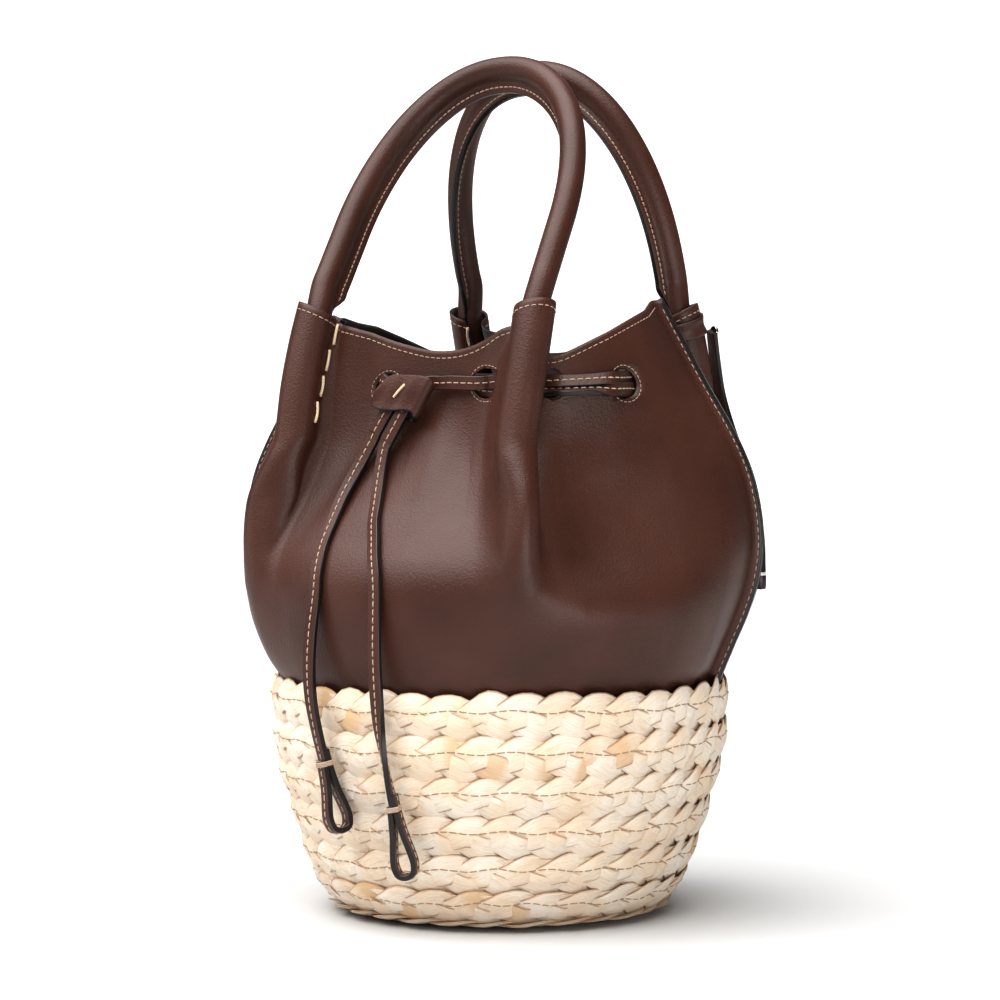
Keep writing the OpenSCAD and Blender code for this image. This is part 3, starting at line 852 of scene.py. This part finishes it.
def handle_line(h):
    """Centre line of a handle from the bottom of one sleeve to the bottom of the other, and its rise."""
    inward = 1 if h["y"] < 0 else -1
    lean = math.radians(h["lean"])

    def place(x, v):
        return [x + h["skew"] * v, h["y"] + inward * v * math.sin(lean), LEG_LOW + v * math.cos(lean)]

    def foot(side, z):
        return [side * (61.5 + 0.066 * (290 - z)), -inward * (60 + 0.331 * (290 - z)), z]

    points = [foot(-1, z) for z in (250, 258, 266, 275, 284)]
    legs = np.arange(16, h["straight"] - 3, 8)
    points += [place(-h["foot"] + (h["foot"] - h["wide"]) * v / h["straight"], v) for v in legs]
    for turn in np.radians(np.linspace(0, 180, 31)):
        c, s = math.cos(turn), math.sin(turn)
        points.append(place(-h["wide"] * math.copysign(abs(c)**(2 / h["power"]), c),
                            h["straight"] + h["arch"] * max(s, 0)**(2 / h["power"])))
    points += [place(h["foot"] - (h["foot"] - h["wide"]) * v / h["straight"], v) for v in legs[::-1]]
    points += [foot(1, z) for z in (284, 275, 266, 258, 250)]
    line = spline(points, 2.2)
    rise = np.clip((line[:, 2] - LEG_LOW) / math.cos(lean), 0, None)
    return line, rise, inward, lean


def tube_section(flange):
    """Leather round the cord, pinched into a flange whose end is the first and last point."""
    side = [[TUBE_R + flange, 0.75 * FLANGE_HALF], [TUBE_R + flange - 0.35, FLANGE_HALF],
            [TUBE_R + 0.55 * flange, 0.84 * FLANGE_HALF], [TUBE_R + 0.15 * flange, 0.92 * FLANGE_HALF]]
    round_part = [[TUBE_R * math.cos(a), TUBE_R * math.sin(a)] for a in np.radians(np.linspace(19, 341, 22))]
    return np.array(side + round_part + [[x, -y] for x, y in side[::-1]])


def make_handle(name, h):
    line, rise, inward, lean = handle_line(h)
    into_bag = np.array([0, inward * math.cos(lean), -math.sin(lean)])
    t = tangents(line)
    turn = np.radians(h["turn"] * (1 - 0.5 * (rise / (h["straight"] + h["arch"]))**3))[:, None]
    n = across(np.cos(turn) * inward * np.cross(into_bag, t) + np.sin(turn) * into_bag, line)
    b = np.cross(t, n)
    flange = 0.1 + FLANGE_OUT * smooth((rise - 3) / 11)
    sections = np.stack([tube_section(f) for f in flange])
    verts, faces = sweep(line, n, sections)
    m = sections.shape[1]
    paint = ([0] * (m - 1) + [1]) * (len(line) - 1) + [0, 0]
    skin = new_piece(f"handle_{name}_leather", verts, faces, [LEATHER, EDGE], paint)
    parts = []
    middle = line + n * (TUBE_R + 0.5 * flange[:, None])
    seen = flange > 0.5 * FLANGE_OUT
    for face in (1, -1):
        on_face = middle + face * b * 0.84 * FLANGE_HALF
        parts.append(stitches(on_face[seen], face * b[seen], 2.75, 1.9, 0.36))
    sewn = new_piece(f"handle_{name}_stitches", *join_parts(parts), [THREAD])
    run = rise > 2
    cord = new_piece(f"handle_{name}_cord", *sweep(line[run], n[run], circle(CORD_R, 16)), [CORE])
    for piece, kind in ((skin, "leather"), (sewn, "thread"), (cord, "core_cord")):
        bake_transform(piece)
    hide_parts(f"handle_{name}_skin", f"handle_{name}_feet")
    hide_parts(f"handle_{name}_core")


for name, shape in HANDLES.items():
    make_handle(name, shape)


# ---------------------------------------------------------------- flat straps

STRAP_W, STRAP_T = 6.5, 2.4


def strap_section():
    """Flat faces with a slight crown, and painted edges."""
    w, h, c = STRAP_W / 2, STRAP_T / 2, 0.3
    half = [[h, c - w], [h + 0.1, 0], [h, w - c], [h - c, w], [c - h, w]]
    return np.array(half + [[-x, -y] for x, y in half])


def strap_paint(rings):
    half = [0, 0, 1, 1, 1]
    return half * 2 * (rings - 1) + [1, 1]


def make_strap(name, sewn_name, line, normals, faces_sewn=(1,)):
    """A strap and the stitches along its middle, on one face or on both; neither is on a body yet."""
    strap = new_piece(name, *sweep(line, normals, strap_section()), [LEATHER, EDGE], strap_paint(len(line)))
    strap.data.set_sharp_from_angle(angle=math.radians(38))
    n = across(normals, line)
    parts = [stitches(line + face * n * (STRAP_T / 2 + 0.1), face * n, 3.7, 2.5, 0.34) for face in faces_sewn]
    return strap, new_piece(sewn_name, *join_parts(parts), [THREAD])


def outward(points):
    """Level direction out of the leather near a front or back strap."""
    p = np.asarray(points, float)
    return unit(np.stack([p[:, 0] * abs(p[:, 0]) / 8800, p[:, 1] * abs(p[:, 1]) / 3700, 0 * p[:, 2]], axis=1))


# ---------------------------------------------------------------- keepers and drawstrings

KEEPER_AT = np.array([-5.5, -70, 247])
KEEPER_LEAN, KEEPER_ROLL = -12, 26
KEEPER_HALF = 11
CHANNEL_X = 4.3            # the straps run this far to each side of the middle of the keeper
LEAD_OUT = 11.5            # straight strap below the keeper, along which it slides

# Route of the front drawstring between its two holes, [angle, distance outside the leather, height]
RUN = [[-109, 1, 250], [-113, -4, 248.8], [-124, -4.4, 248.4], [-136, -4.4, 248.4], [-148, -4.4, 248.4],
       [-160, -4.4, 248.4], [-171, -4.4, 248.4], [-182, -4.4, 248.8], [-192, -4.2, 249.6],
       [-197, -0.5, 249.8], [-202, 3.2, 249.6], [-210, 4.2, 249], [-216, 3.6, 248.6], [-221, -1, 248.6],
       [-225, -4.4, 248.4], [-238, -4.4, 248.4], [-252, -4.4, 250], [-262, -4.4, 251], [-272, -4.4, 253],
       [-282, -4.4, 254.5], [-292, -4.4, 255.4], [-304, -4.4, 255.4], [-316, -4.4, 255.4],
       [-328, -4.4, 255.4], [-340, -4.4, 255.4], [-352, -4.4, 255.4], [-363, -4.4, 255.4],
       [-372, -4.2, 255], [-377, -0.5, 254.8], [-382, 2.4, 254.4], [-390, 2.4, 253.4], [-397, 1.8, 252.9],
       [-401, -1, 253], [-405, -4.4, 253.4], [-413, -4.4, 253.4], [-419, -1.5, 252.4], [-422.5, 2.2, 252.1],
       [-428, 3.4, 252.2], [-435, 3.8, 252.4]]
HEAD_LEFT = [[-4.3, 0, -8], [-5.4, 0, -3.6], [-8.4, 0, -0.8], [-12.4, 0, 0], [-16, 1.6, 0]]
HEAD_RIGHT = [[13.3, 4.3, 13.4], [10, 4.2, 11.9], [7.4, 3.2, 10.2], [5.4, 1.4, 7.8], [4.4, 0.3, 4.4],
              [4.3, 0, 0]]


def in_keeper(points):
    """From the keeper's own frame, its length up, to the bag's."""
    x, y, z = np.asarray(points, float).T
    roll, lean = math.radians(KEEPER_ROLL), math.radians(KEEPER_LEAN)
    x, z = x * math.cos(roll) + z * math.sin(roll), z * math.cos(roll) - x * math.sin(roll)
    y, z = y * math.cos(lean) - z * math.sin(lean), y * math.sin(lean) + z * math.cos(lean)
    return KEEPER_AT + np.stack([x, y, z], axis=1)


def strap_tip(side):
    """Where a drawstring ends below the keeper and its tail goes on; side is -1 or 1."""
    return in_keeper([[side * CHANNEL_X, 0, -KEEPER_HALF - LEAD_OUT]])


def make_drawstring(side):
    angle, out, z = np.array(RUN, float).T
    meets = z + np.where(out < 0, 0.5, -0.5) * STRAP_W
    run = polar(angle, base_radius(angle, meets) + out, z)
    points = np.concatenate([strap_tip(-1), in_keeper(HEAD_LEFT), run, in_keeper(HEAD_RIGHT), strap_tip(1)])
    line = spline(points, 2.0)
    around = half_angle(np.degrees(np.arctan2(line[:, 1], line[:, 0])))
    upper = smooth((line[:, 2] - 250.5) / 1.5)
    tip_over = np.radians(72 - 30 * upper) * np.exp(-((around + 34 - 3 * upper) / 9)**4)[None, :]
    tip_over = tip_over.T * (abs(line[:, 2:] - 251.5) < 5)
    normals = outward(line) * np.cos(tip_over) + np.array([0, 0, 1.0]) * np.sin(tip_over)
    name = f"drawstring_{side}"
    strap, sewn = make_strap(f"{name}_leather", f"{name}_leather_stitches",
                             twin(side, line), twin(side, normals))
    fasten(strap, "bag", "leather", name)
    fasten(sewn, "bag", "thread")


# The keeper in its own frame, seen from the front: the fold on the right, the flap's free end on the left
FOLD_X, FREE_X, FLAP_Z = 10.3, -12.2, -7.4
LAYER_Y = 2.4              # from the middle of the straps to each layer
# Edges of the flap, [distance from its free end, height above FLAP_Z]
FLAP_TOP = [[0, 1.5], [0.4, 4.5], [1.2, 7.5], [2.4, 10.4], [4, 12.7], [7, 14.4], [22.5, 20.6], [40, 20.6]]
FLAP_LOW = [[0, -1.6], [0.5, -3.4], [1.6, -4.6], [3.5, -4.8], [8, -4], [22.5, 2.6], [40, 2.6]]


def keeper_columns():
    """Lines up the tab from the flap round the fold to the back layer, as [x, y, lowest z, highest z]."""
    columns = []
    for u in np.concatenate([np.linspace(0, 4, 12)[:-1], np.linspace(4, FOLD_X - FREE_X, 16)]):
        x = FREE_X + u
        swell = 0.6 * sum(math.exp(-((x - c) / 3.2)**2) for c in (-CHANNEL_X, CHANNEL_X))
        lift = 1.6 * math.exp(-u / 5)
        columns.append([x, -LAYER_Y - swell - lift, FLAP_Z + float(curve(u, FLAP_LOW)),
                        FLAP_Z + float(curve(u, FLAP_TOP))])
    for a in np.linspace(0, math.pi, 10)[1:]:
        columns.append([FOLD_X + LAYER_Y * math.sin(a), -LAYER_Y * math.cos(a), FLAP_Z + 2.6 - 1.4 * a,
                        FLAP_Z + 20.6 - 5 * float(smooth(a / math.pi))])
    for u in np.linspace(0, FOLD_X + 12.5, 16)[1:]:
        columns.append([FOLD_X - u, LAYER_Y, FLAP_Z - 1.8 - 0.17 * u,
                        FLAP_Z + 15.6 - 6 * float(smooth(u / 6))])
    return columns


def make_keeper(side):
    """A tab folded round both straps, with rounded corners, and the hand stitch through it."""
    columns = keeper_columns()
    share = [0, 0.045, 0.09, 0.15] + list(np.linspace(0.22, 1, 11))
    grid = np.array([[[x, y + 0.25 * math.sin(7 * v), low + (high - low) * v] for v in share]
                     for x, y, low, high in columns]).reshape(-1, 3)
    # Black along the lower edge: the edge paint runs round on to the face, and on the back of the tab the
    # wider black band is partly painted shadow under the flap
    black_faces = [1 if r < (3 if y > 0 else 1) else 0
               for _, y, _, _ in columns[:-1] for r in range(len(share) - 1)]
    keeper = new_piece(f"keeper_{side}_leather", twin(side, in_keeper(grid)),
                       grid_faces(len(columns), len(share)), [LEATHER, EDGE], black_faces)
    add_modifier(keeper, "SOLIDIFY", thickness=1.5 * MM, offset=0, material_offset_rim=1)
    add_modifier(keeper, "BEVEL", width=0.25 * MM, segments=2, limit_method="ANGLE",
                 angle_limit=math.radians(50))
    apply_modifiers(keeper)
    parts = []
    for y, sign in ((-3.65, -1), (3.25, 1)):
        z = np.linspace(-3.9, 3.9, 9)
        bow = 0.35 * np.cos(z / 3.9 * 1.5)
        line = in_keeper(np.stack([-0.4 + 0.3 * z, y + sign * bow, z + 0.8], axis=1))
        normal = in_keeper([[0, sign, 0]]) - in_keeper([[0, 0, 0]])
        parts.append(sweep(twin(side, line), twin(side, np.repeat(normal, 9, axis=0)), circle(0.6, 8)))
    sewn = new_piece(f"keeper_{side}_thread", *join_parts(parts), [HAND_THREAD])
    fasten(keeper, f"keeper_{side}", "leather", f"keeper_{side}")
    fasten(sewn, f"keeper_{side}", "thread", f"keeper_{side}_stitch")


# Routes of the front tails below the keeper, and how each loop is turned at its end
LEFT_ROUTE = [[-20, -74, 227], [-26, -78, 213], [-30, -85.5, 198], [-29.5, -96, 182], [-27, -105, 169],
              [-26, -110.5, 155], [-26.5, -113, 140], [-26.5, -114.5, 124], [-25, -115, 108],
              [-22.3, -114, 93], [-19.5, -112.5, 80]]
RIGHT_ROUTE = [[-12.5, -75, 223], [-12, -80, 208], [-7, -89.5, 193], [1.5, -101.5, 178], [8, -109.5, 164],
               [10.5, -113.5, 148], [11.5, -115, 130], [12.5, -115, 112], [14, -114.5, 95], [16.2, -113, 79],
               [18.5, -110.5, 62]]
TAILS = {"left": dict(turn=70, wide=5.0, route=LEFT_ROUTE),
         "right": dict(turn=20, wide=4.6, route=RIGHT_ROUTE)}
LOOP_LEN = 34


def loop_frame(route, turn):
    """Directions at the end of a tail: across the loop, along the strap's width, and back up the strap."""
    end, before = np.array(route[-1], float), np.array(route[-2], float)
    up = unit(before - end)
    heading = math.atan2(up[1], up[0])
    spin = math.radians(turn) - heading
    side = np.array([-math.sin(heading), math.cos(heading), 0])
    tipped = np.cross(side, up)
    x = math.cos(spin) * tipped + math.sin(spin) * side
    return end, x, np.cross(up, x), up


def off_the_leather(line):
    """Moves the points that would sink into the leather straight out, with the moves smoothed along."""
    angle = np.degrees(np.arctan2(line[:, 1], line[:, 0]))
    clear = base_radius(angle, np.maximum(line[:, 2], 111)) + 0.7 + STRAP_T / 2
    need = np.maximum(0, clear - np.hypot(line[:, 0], line[:, 1]))
    weights = np.hanning(13) / np.hanning(13).sum()
    moved = np.maximum(need, np.convolve(np.pad(need, 6, mode="edge"), weights, mode="valid"))
    return line + polar(angle, moved, 0)


def loop_line(wide):
    """Round the teardrop in its own plane, from the tie down and back up behind the strap."""
    low = -LOOP_LEN + wide + 0.3
    points = [[1.25, 0], [1.5, -5], [2.6, -14], [wide, low + 4], [wide * 0.98, low],
              [0.72 * wide, low - 2.9], [0, low - 4.1], [-0.72 * wide, low - 2.9], [-wide * 0.98, low],
              [-wide, low + 4], [-2.6, -14], [-1.5, -5], [-1.25, 0], [-1.2, 5]]
    return spline([[a, 0, c] for a, c in points], 1.2)


def tie_turns(side, end, x, y, up):
    """Three turns of thread round the strap at the top of its loop."""
    turns = []
    for k in range(3):
        a = np.linspace(0, 2 * np.pi, 28, endpoint=False)
        wide, deep = STRAP_W / 2 + 0.45, STRAP_T + 0.55
        around = end + np.outer(deep * np.sign(np.cos(a)) * abs(np.cos(a))**0.45, x)
        around = around + np.outer(wide * np.sign(np.sin(a)) * abs(np.sin(a))**0.45, y)
        around = around - (1.0 + 0.75 * k) * up
        normals = unit(around - around.mean(axis=0))
        turns.append(sweep(twin(side, around), twin(side, normals), circle(0.45, 8), closed=True))
    return join_parts(turns)


def make_tail(side, which):
    """The hanging end of a drawstring, the loop that it is folded into and the tie round the fold."""
    tail = TAILS[which]
    end, x, y, up = loop_frame(tail["route"], tail["turn"])
    tip = strap_tip(-1 if which == "left" else 1)
    line = off_the_leather(spline(np.concatenate([tip, np.array(tail["route"], float)]), 2.0))
    if np.dot(x, outward(line[-1:])[0]) < 0:
        x, y = -x, -y
    share = smooth((np.linspace(0, length_of(line), len(line)) - length_of(line) + 55) / 55)[:, None]
    normals = unit(outward(line) * (1 - share) + x * share)
    name = f"tail_{side}_{which}"
    strap, sewn = make_strap(name + "_leather", name + "_leather_stitches", twin(side, line),
                             twin(side, normals), (1, -1))
    flat = loop_line(tail["wide"])
    loop = end + flat[:, :1] * x + flat[:, 2:] * up - 0.3 * up
    inside = np.cross(tangents(loop), y)
    ring, ring_sewn = make_strap(name + "_loop_leather", name + "_loop_stitches", twin(side, loop),
                                 twin(side, inside), (1, -1))
    tie = new_piece(name + "_tie_thread", *tie_turns(side, end, x, y, up), [THREAD])
    fasten(strap, name, "leather", name)
    fasten(sewn, name, "thread")
    fasten(ring, name, "leather", name + "_loop")
    fasten(ring_sewn, name, "thread")
    fasten(tie, name, "thread", name + "_tie")
    length_of(line) * MM


for side in ("front", "back"):
    make_drawstring(side)
    make_keeper(side)
    for which in TAILS:
        make_tail(side, which)


# ---------------------------------------------------------------- fob on the back right handle

FOB_ROUTE = [[73, 75, 277], [71, 81.5, 262], [70.5, 87, 246], [73.5, 91.5, 229], [79, 95, 211], [84, 97, 193],
             [86.5, 97.5, 176], [87.5, 97, 160]]
SLEEVE_R = 10


def sleeve_frame():
    """Mouth of the back right sleeve, and the directions out of the bag, round it and up it."""
    up = unit(np.array([61.5, 60, 290]) - np.array([65.7, 81.2, 226]))
    out = unit(across(polar(45, 1.0, 0)[None], np.array([[0, 0, 0], up]))[0])
    return np.array([61.5, 60, 290.0]), out, np.cross(up, out), up


def make_fob_band():
    """The loop of leather round the sleeve that the fob hangs from."""
    mouth, out, beside, up = sleeve_frame()
    columns, rows = 60, 8
    z = np.linspace(-16.5, -7.5, rows)
    r = SLEEVE_R + 1.1 - 0.35 * np.cos(np.linspace(-math.pi, math.pi, rows))
    grid = np.concatenate([mouth + np.outer(r * math.cos(a), out) + np.outer(r * math.sin(a), beside)
                           + np.outer(z, up) for a in np.radians(np.linspace(-128, 128, columns))])
    band = new_piece("fob_band", grid, grid_faces(columns, rows), [LEATHER, EDGE])
    add_modifier(band, "SOLIDIFY", thickness=1.4 * MM, offset=0, material_offset_rim=1)
    apply_modifiers(band)
    fasten(band, "bag", "leather", "fob_loop")


def make_fob_stud():
    """A domed stud at the top of the fob's strap."""
    radius, dome_height, sides = 2.7, 1.6, 28
    face = outward(np.array(FOB_ROUTE[:1], float))[0]
    at = FOB_ROUTE[0] + face * 1.2
    profile = [[radius, -0.8], [2.9, -0.3]]
    profile += [[radius * math.cos(a), dome_height * math.sin(a)] for a in np.linspace(0, math.pi / 2, 7)]
    level = unit(np.cross([0, 0, 1.0], face))
    high = np.cross(face, level)
    columns = []
    for turn in np.linspace(0, 2 * np.pi, sides, endpoint=False):
        radial = math.cos(turn) * level + math.sin(turn) * high
        columns.append([at + radial * r + face * (h + 0.4) for r, h in profile])
    stud = new_piece("fob_stud_metal", np.array(columns).reshape(-1, 3),
                     grid_faces(sides, len(profile), closed=True), [METAL])
    fasten(stud, "bag", "stud_metal", "fob_stud")


def make_fob_tip():
    """The dark tip at the end of the fob's strap, with a pale band round it."""
    shape = [[0.01, 0.4], [2.3, 0.3], [2.9, -0.3], [3.0, -1.9], [3.05, -2.1], [3.05, -7.4], [2.7, -8.6],
             [0.01, -8.9]]
    pale_step = 2
    verts, faces = lathe(shape, 40)
    paint = [1 if i % (len(shape) - 1) == pale_step else 0 for i in range(len(faces))]
    tip = new_piece("fob_tip_plastic", verts + FOB_ROUTE[-1], [f[::-1] for f in faces],
                    [TIP_DARK, TIP_PALE], paint)
    fasten(tip, "fob", "tip_plastic", "fob_tip")
    return tip


def make_fob():
    make_fob_band()
    line = spline(FOB_ROUTE, 2.0)
    strap, sewn = make_strap("fob_strap_leather", "fob_strap_leather_stitches", line, outward(line))
    fasten(strap, "fob", "leather", "fob_strap")
    fasten(sewn, "fob", "thread")
    make_fob_stud()
    tip = make_fob_tip()
    length_of(line) * MM


make_fob()


# ---------------------------------------------------------------- basket

# Outer wall of the basket, [height, radius]
WALL = [[0.5, 74], [4, 78], [15, 88], [31, 95], [45, 99.5], [60, 104], [75, 108], [92, 109.5], [110, 110]]
ROW_EDGES = [4, 18.5, 36, 54, 72.5, 91, 110]
LOBE = 17.0                # width of one lobe of the plait
STRAND_HALF, STRAND_T = 6.9, 0.8
STEPS = 22                 # points of a strand in each period of the plait
SIDES = 12                 # points round the section of a strand


def plait(center_r, center_z, up, out):
    """Three flat strands plaited round the bag: points, faces and the attributes of the raffia."""
    periods = max(3, round(2 * math.pi * center_r / (3 * LOBE)))
    n = periods * STEPS
    angle = np.linspace(0, 2 * np.pi, n, endpoint=False)
    section_turn = np.linspace(0, 2 * np.pi, SIDES, endpoint=False)
    strands, fibre, tone, rim = [], [], [], []
    for strand in range(3):
        phase = 2 * math.pi * strand / 3
        lobes = periods * 2
        jitter = rng.normal(0, 1, (4, lobes))
        brown = np.where(rng.random(lobes) < 0.05, rng.uniform(0.35, 0.7, lobes), rng.uniform(0, 0.10, lobes))
        turn = periods * angle + phase
        which = (turn / math.pi + 0.5 + 1e-9) % lobes
        index = which.astype(int) % lobes
        blend = smooth((which - index - 0.8) / 0.2)

        def vary(k):
            return jitter[k][index] * (1 - blend) + jitter[k][(index + 1) % lobes] * blend

        shade = brown[index] * (1 - blend) + brown[(index + 1) % lobes] * blend
        v = (5.3 + 0.35 * vary(0)) * (np.sin(turn) - 0.08 * np.sin(3 * turn)) / 1.08
        depth = 0.95 * np.sin(2 * turn) + 0.2 * vary(1)
        rolled = 0.16 * np.sin(turn)
        half = STRAND_HALF * (1 + 0.09 * vary(2)) * (1 - 0.10 * np.cos(2 * turn))
        radius = center_r + v * up[0] + depth * out[0]
        height = center_z + v * up[1] + depth * out[1]
        line = np.stack([radius * np.cos(angle), radius * np.sin(angle), height], axis=1)
        t = unit(np.roll(line, -1, axis=0) - np.roll(line, 1, axis=0))
        level = np.stack([np.cos(angle), np.sin(angle), 0 * angle], axis=1)
        normal = level * out[0] + np.array([0, 0, 1.0]) * out[1]
        normal = unit(normal - (normal * t).sum(axis=1, keepdims=True) * t)
        side = np.cross(normal, t)
        c, s = np.cos(rolled)[:, None], np.sin(rolled)[:, None]
        normal, side = normal * c + side * s, side * c - normal * s
        width = np.cos(section_turn)
        thick = np.sign(np.sin(section_turn)) * abs(np.sin(section_turn))**0.8
        crown = 0.4 * (1 - width**2)
        ring = (line[:, None] + side[:, None] * (half[:, None] * width)[..., None]
                + normal[:, None] * (STRAND_T * thick + crown)[None, :, None])
        strands.append((ring.reshape(-1, 3), ring_faces(n, SIDES, closed=True)))
        fibre.append(np.stack(np.broadcast_arrays(distances(line)[:, None] + rng.uniform(0, 500),
                                                  half[:, None] * width, thick[None, :] + 40 * strand),
                              axis=2).reshape(-1, 3))
        tone.append(np.repeat(shade, SIDES))
        # rim: how near each point lies to an edge of its strand, where the raffia material paints shade
        rim.append(np.tile(abs(width), n))
    attributes = {"fibre": np.concatenate(fibre), "tone": np.concatenate(tone), "rim": np.concatenate(rim)}
    return *join_parts(strands), attributes


def make_row(i):
    """One turn of the basket: a plait in front of a thin band of straw that closes the gaps in it."""
    low, high = ROW_EDGES[i - 1], ROW_EDGES[i]
    z = (low + high) / 2
    inset, band_t, band_tone = 2.6, 0.6, 0.2
    edge = [[curve(h, WALL), h] for h in (low, high)]
    up = unit(np.array(edge[1]) - edge[0])
    tilt = math.radians(5)
    up = np.array([up[0] * math.cos(tilt) + up[1] * math.sin(tilt),
                   up[1] * math.cos(tilt) - up[0] * math.sin(tilt)])
    out = np.array([up[1], -up[0]])
    verts, faces, attributes = plait(float(curve(z, WALL)) - inset, z, up, out)
    middle = np.array([float(curve(z, WALL)) - inset - 0.2, z])
    half = 0.5 * (high - low) / up[1] - 0.2
    behind = band_t * out
    low_end, high_end = middle - half * up, middle + half * up
    corners = [low_end, high_end, high_end - behind, low_end - behind]
    band, band_faces = lathe(corners + corners[:1], 240)
    extra = {"fibre": band, "tone": np.full(len(band), band_tone), "rim": np.zeros(len(band))}
    attributes = {key: np.concatenate([values, extra[key]]) for key, values in attributes.items()}
    verts, faces = join_parts([(verts, faces), (band, band_faces)])
    row = new_piece(f"basket_plait_{i}", verts, faces, [STRAW], attributes=attributes)
    fasten(row, "bag", "straw", f"basket_row_{i}")
    return verts, faces, up


def thread_line(tree, radius, z):
    """A sewn line round the basket, pressed onto the strands it crosses."""
    points = []
    for a in np.linspace(0, 360, 420, endpoint=False):
        wave = 0.8 * math.sin(5 * math.radians(a)) + 0.7 * math.sin(23 * math.radians(a) + z)
        start = polar(a, radius + 25, z + wave)
        hit = tree.ray_cast(Vector(start), Vector(-polar(a, 1.0, 0)), 60)[0]
        points.append(np.array(hit) if hit else start * [0.8, 0.8, 1])
    return np.array(points)


def make_basket():
    parts = []
    for i in range(1, 7):
        verts, faces, up = make_row(i)
        tree = BVHTree.FromPolygons(verts.tolist(), faces)
        z = (ROW_EDGES[i - 1] + ROW_EDGES[i]) / 2 + 3.6 * up[1]
        line = thread_line(tree, float(curve(z, WALL)), z)
        parts.append(stitches(line, unit(line * [1, 1, 0]), 4.6, 3.6, 0.3))
    fasten(new_piece("basket_stitches", *join_parts(parts), [STRAW_THREAD]), "bag", "thread")
    coils = [plait(r, 3.9, np.array([1.0, 0.0]), np.array([0.0, -1.0])) for r in (70, 52, 34, 16)]
    attributes = {key: np.concatenate([coil[2][key] for coil in coils]) for key in coils[0][2]}
    base = new_piece("basket_base_plait", *join_parts([coil[:2] for coil in coils]), [STRAW],
                     attributes=attributes)
    fasten(base, "bag", "straw", "basket_base")


def make_lining():
    """The cotton bag inside the basket, slightly puckered where it is sewn in under the leather."""
    profile = [[0.5, 7.4], [40, 7.2], [66, 7.4], [74, 10], [80.5, 17], [87.5, 31], [92, 45], [96.5, 60],
               [100.5, 75], [101.8, 92], [101.6, 101]]
    verts, faces = lathe(profile, 180)
    a = np.arctan2(verts[:, 1], verts[:, 0])
    pucker = 0.5 * np.sin(23 * a) * smooth((verts[:, 2] - 20) / 60) + 0.4 * np.sin(9 * a + 1)
    verts = verts + polar(np.degrees(a), pucker * smooth(verts[:, 2] / 30), 0)
    lining = new_piece("lining_cotton", verts, [f[::-1] for f in faces], [COTTON])
    add_modifier(lining, "SOLIDIFY", thickness=0.8 * MM, offset=0)
    apply_modifiers(lining)
    fasten(lining, "bag", "cotton", "lining")


make_basket()
make_lining()


def dress_cad(name, material):
    """A CAD node that keeps its shape gets a better material."""
    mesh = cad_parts[name].data
    mesh.materials.clear()
    mesh.materials.append(material)


dress_cad("base_board", BOARD)
